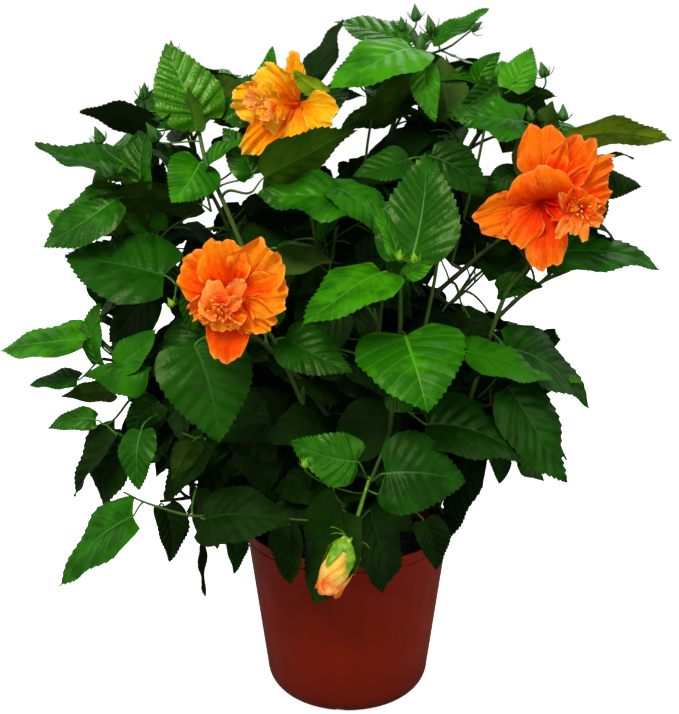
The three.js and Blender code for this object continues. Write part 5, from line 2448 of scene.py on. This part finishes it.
@dataclass
class Flowering:
    """The blooms, the buds and the stalks that carry them."""

    crown: Crown
    seed: int = 77

    def __post_init__(self) -> None:
        """Starts the solids that the parts go into."""
        self.corolla, self.green, self.bright, self.anthers = Solid(), Solid(), Solid(), Solid()
        self.filaments = Strands("filaments", STIGMA.material(), 5)

    def carry(self, foot: Points, axis: Points, thick: float, sway: float = 1.0) -> None:
        """Joins a flower to the nearest wood by a stalk of its own.

        Args:
            foot: the flower's foot.
            axis: which way the flower looks.
            thick: the stalk's radius.
            sway: how widely the stalk curves.
        """
        spot, heading, _ = self.crown.nearest_wood(foot)
        gap = float(np.linalg.norm(foot - spot)) * sway
        path = arc(spot, unit(unit(foot - spot) + heading) * gap, foot, unit(axis) * gap, 12)
        self.crown.stalks.add(path, thick, thick)
        self.crown.wood.append(Limb("flower_stalk", path, np.array([thick, thick])))

    def lay_out(self) -> None:
        """Sets the blooms and the hanging bud, and keeps the view of them clear."""
        room = self.crown.room
        for bloom in BLOOMS:
            bloom.build(self.corolla, self.filaments, self.anthers, self.green)
            throat, axis = bloom.throat, bloom.axis
            self.carry(throat - axis * 0.021, axis, 0.0016)
            if throat[1] < 0.0:
                room.screens.append(Screen(throat - axis * 0.015, 0.066))
            for turn in (-60, 0, 60):
                forward = turned(UP, axis, radians(turn))
                room.take(Leaf(throat + axis * 0.02, forward, axis, 0.07, DEEP, PLAIN))
        hanging = Bud(np.array((0.5, -22, 30)) / 100, np.array((-2.8, -2, -6.2)), 0.068, 0.0165, 9)
        hanging.unfurling(self.bright, self.corolla)
        room.screens += [Screen(hanging.foot + hanging.axis * 0.035, 0.024), Screen(hanging.foot, 0.02)]
        stalk = through(np.array(((2.4, -20.2, 36), (1.6, -21.3, 33.6), (0.5, -22, 30.0))) / 100)
        self.bright.add(*tube(stalk, np.linspace(0.0016, 0.0021, len(stalk)), 10))

    def set_buds(self) -> None:
        """Sets the green buds that stand at the tips of the upper shoots and in the crown."""
        rng = np.random.default_rng(self.seed)
        for number, place in enumerate(TIP_BUDS):
            foot = np.array(place) / 100
            axis = unit((rng.normal(0, 0.25), rng.normal(0, 0.25), 1.0))
            self.carry(foot, axis, 0.0011)
            Bud(foot, axis, rng.uniform(0.018, 0.025), 0.005, number).closed(self.green)
        small = [(place, 0.013, 0.3 - 0.2 * i, self.bright) for i, place in enumerate(BRIGHT_BUDS)]
        small += [(place, 0.024, -0.6, self.green) for place in SIDE_BUDS]
        for number, (place, size, lean, solid) in enumerate(small):
            foot = np.array(place) / 100
            self.carry(foot, UP, 0.0010, 0.4)
            Bud(foot, unit((lean, -0.2, 1.0)), size, size * 0.22 + 0.0006, 30 + number).closed(solid)
        for number, (tip, heading) in enumerate(self.crown.shoot_ends):
            clear = not self.crown.room.hidden(tip + np.outer((0.0, 0.02, 0.04), heading))
            if clear and rng.random() < (0.6 if tip[2] > 0.66 else 0.22):
                axis = unit(heading + rng.normal(0, 0.3, 3) + UP * 0.4)
                foot = tip + axis * rng.uniform(0.012, 0.024)
                self.crown.stalks.add(arc(tip, heading * 0.015, foot, axis * 0.015, 5), 0.0010, 0.0010)
                Bud(foot, axis, rng.uniform(0.011, 0.02), 0.0038, 40 + number).closed(self.green)

    def build(self) -> None:
        """Makes the pieces."""
        stand_for(self.corolla.build("petals", [paint.material() for paint in PETAL_SLOTS]))
        stand_for(self.anthers.build("anthers", [ANTHER.material()]))
        stand_for(self.filaments.build())
        stand_for(self.green.build("calyxes_and_buds", [BUD_GREEN.material()]))
        stand_for(self.bright.build("hanging_calyx", [CALYX.material()]))
        log.info("flowering: %d petal faces", len(self.corolla.faces))


LEADERS = (
    # the leading shoots of the front, in centimetres, with the radius at the foot and the end in millimetres
    (((4.5, -12, 33.5), (5, -17, 45), (5.5, -19, 52), (5.5, -20, 58), (6.5, -21, 60)), 3.4, 2.0),
    (((4, -17, 38), (2.5, -20, 35.5), (1.5, -21, 33.5), (0.5, -22, 30)), 2.4, 1.7),
    (((14, -10, 41.5), (17.5, -9, 53), (20, -9.5, 57), (20.7, -10, 63.5)), 3.4, 2.0),
    (((-5, -17, 43.5), (-6.5, -19, 48), (-8, -20.5, 52), (-11, -20, 54.5)), 2.6, 1.9),
    (((-10.5, -14, 58), (-13, -13, 64), (-15, -12, 68.5), (-16, -10, 72)), 3.2, 2.2),
    (((-19, -10, 37), (-24, -9, 43), (-27, -8, 46.5), (-30.5, -7, 49)), 3.0, 1.8),
    (((-11, -13, 31), (-16, -17, 30), (-22, -16, 31), (-25, -16, 32.5)), 2.2, 1.2),
    (((8.5, -12, 50), (10, -10, 59), (9, -8, 68)), 2.8, 1.8),
    (((-2, -6, 56), (-3.5, -5, 64), (-4.5, -4, 71)), 2.6, 1.6),
    (((3, -4, 56), (2, -3, 66), (3, -2, 74)), 2.4, 1.5),
    (((12, -4, 56), (14.5, -3, 66), (16, -2, 74)), 2.4, 1.5),
)


# ---------------------------------------------------------------- studio


LAMPS = (
    # name, place, side in metres, watts and the height of the point that it faces
    ("key", (-0.7, -1.7, 2.6), 1.2, 80.0, 0.5),
    ("low", (0.3, -2.6, 1.1), 1.6, 10.0, 0.3),
    ("fill", (2.0, -1.0, 1.2), 1.6, 20.0, 0.4),
    ("side", (-2.1, -0.8, 0.9), 1.4, 9.0, 0.3),
    ("rim", (0.6, 1.9, 2.2), 1.4, 26.0, 0.6),
    ("left_behind", (-2.3, 1.2, 1.6), 1.6, 11.0, 0.4),
    ("right_behind", (2.3, 1.3, 1.6), 1.6, 11.0, 0.4),
)


@dataclass
class Studio:
    """A pale floor, soft lights and the camera."""

    pitch: float = 16.82
    lens: float = 67.4
    shift: float = -0.0112

    def floor(self) -> None:
        """Lays the pale floor."""
        g = MaterialGraph("floor_paper")
        fibre = g.bump(g.noise(300.0, 2.0), 0.0002, 0.3)
        matt = g.node("ShaderNodeBsdfDiffuse", {"Color": linear(241, 241, 241), "Normal": fibre})
        glow = g.node("ShaderNodeEmission", {"Strength": 0.86})
        lifted = g.node("ShaderNodeAddShader", {0: matt, 1: glow})
        # painted shade: under the pot's foot the floor has no glow, so it shows darker where the pot stands
        # over it
        apart = g.node("ShaderNodeVectorMath", {0: g.place()}, output="Value", operation="LENGTH")
        paper = g.blend(g.between(apart, 0.0795, 0.0815), matt, lifted)
        quiet = g.node("ShaderNodeBsdfDiffuse", {"Color": linear(120, 120, 120)})
        mesh = bpy.data.meshes.new("floor")
        mesh.from_pydata([(-9, -9, 0), (9, -9, 0), (9, 9, 0), (-9, 9, 0)], [], [(0, 1, 2, 3)])
        mesh.materials.append(g.end(g.blend(g.seen(), quiet, paper)))
        link("floor", mesh)

    def light(self) -> None:
        """Sets up the lamps and the light of the room."""
        for name, place, size, watts, height in LAMPS:
            data = bpy.data.lights.new(name, "AREA")
            data.shape, data.size, data.energy = "SQUARE", size, watts
            lamp = link(name, data)
            lamp.location = place
            sight = Vector((0, 0, height)) - Vector(place)
            lamp.rotation_euler = sight.to_track_quat("-Z", "Y").to_euler()
        g = MaterialGraph("room", room=True)
        dim, bright = (g.node("ShaderNodeBackground", {0: (1, 1, 1, 1), 1: power}) for power in (0.22, 1.0))
        bpy.context.scene.world = g.end(g.blend(g.seen(), dim, bright))

    def build(self) -> None:
        """Sets the room up."""
        self.floor()
        self.light()
        data = bpy.data.cameras.new("camera")
        data.lens, data.sensor_width, data.shift_x, data.clip_end = self.lens, 36.0, self.shift, 60.0
        camera = link("camera", data)
        camera.location = EYE_LEVEL
        camera.rotation_euler = (radians(90.0 - self.pitch), 0.0, 0.0)
        bpy.context.scene.camera = camera
        bpy.context.scene.view_settings.view_transform = "Standard"


# ---------------------------------------------------------------- the whole


def main() -> None:
    """Builds the plant from the pot up, then the room."""
    logging.basicConfig(level=logging.INFO, format="%(message)s", stream=sys.stdout)
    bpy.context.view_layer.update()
    pot = Pot()
    pot.build()
    Soil(pot).build()
    masses = [Mass(name) for names in ZONES.values() for name in names]
    limbs = Limbs(masses)
    limbs.build()
    screens = [Screen(np.array(place) / 100, radius / 100, True) for place, radius in OPENINGS]
    crown = Crown(masses, limbs, Room(masses, pot, screens))
    for leader in LEADERS:
        crown.lead(*leader)
    flowering = Flowering(crown)
    flowering.lay_out()
    crown.place_leaves(Placed(*row) for row in PLACED)
    crown.fill()
    crown.close()
    flowering.set_buds()
    crown.build()
    flowering.build()
    Studio().build()


if __name__ == "__main__":
    main()
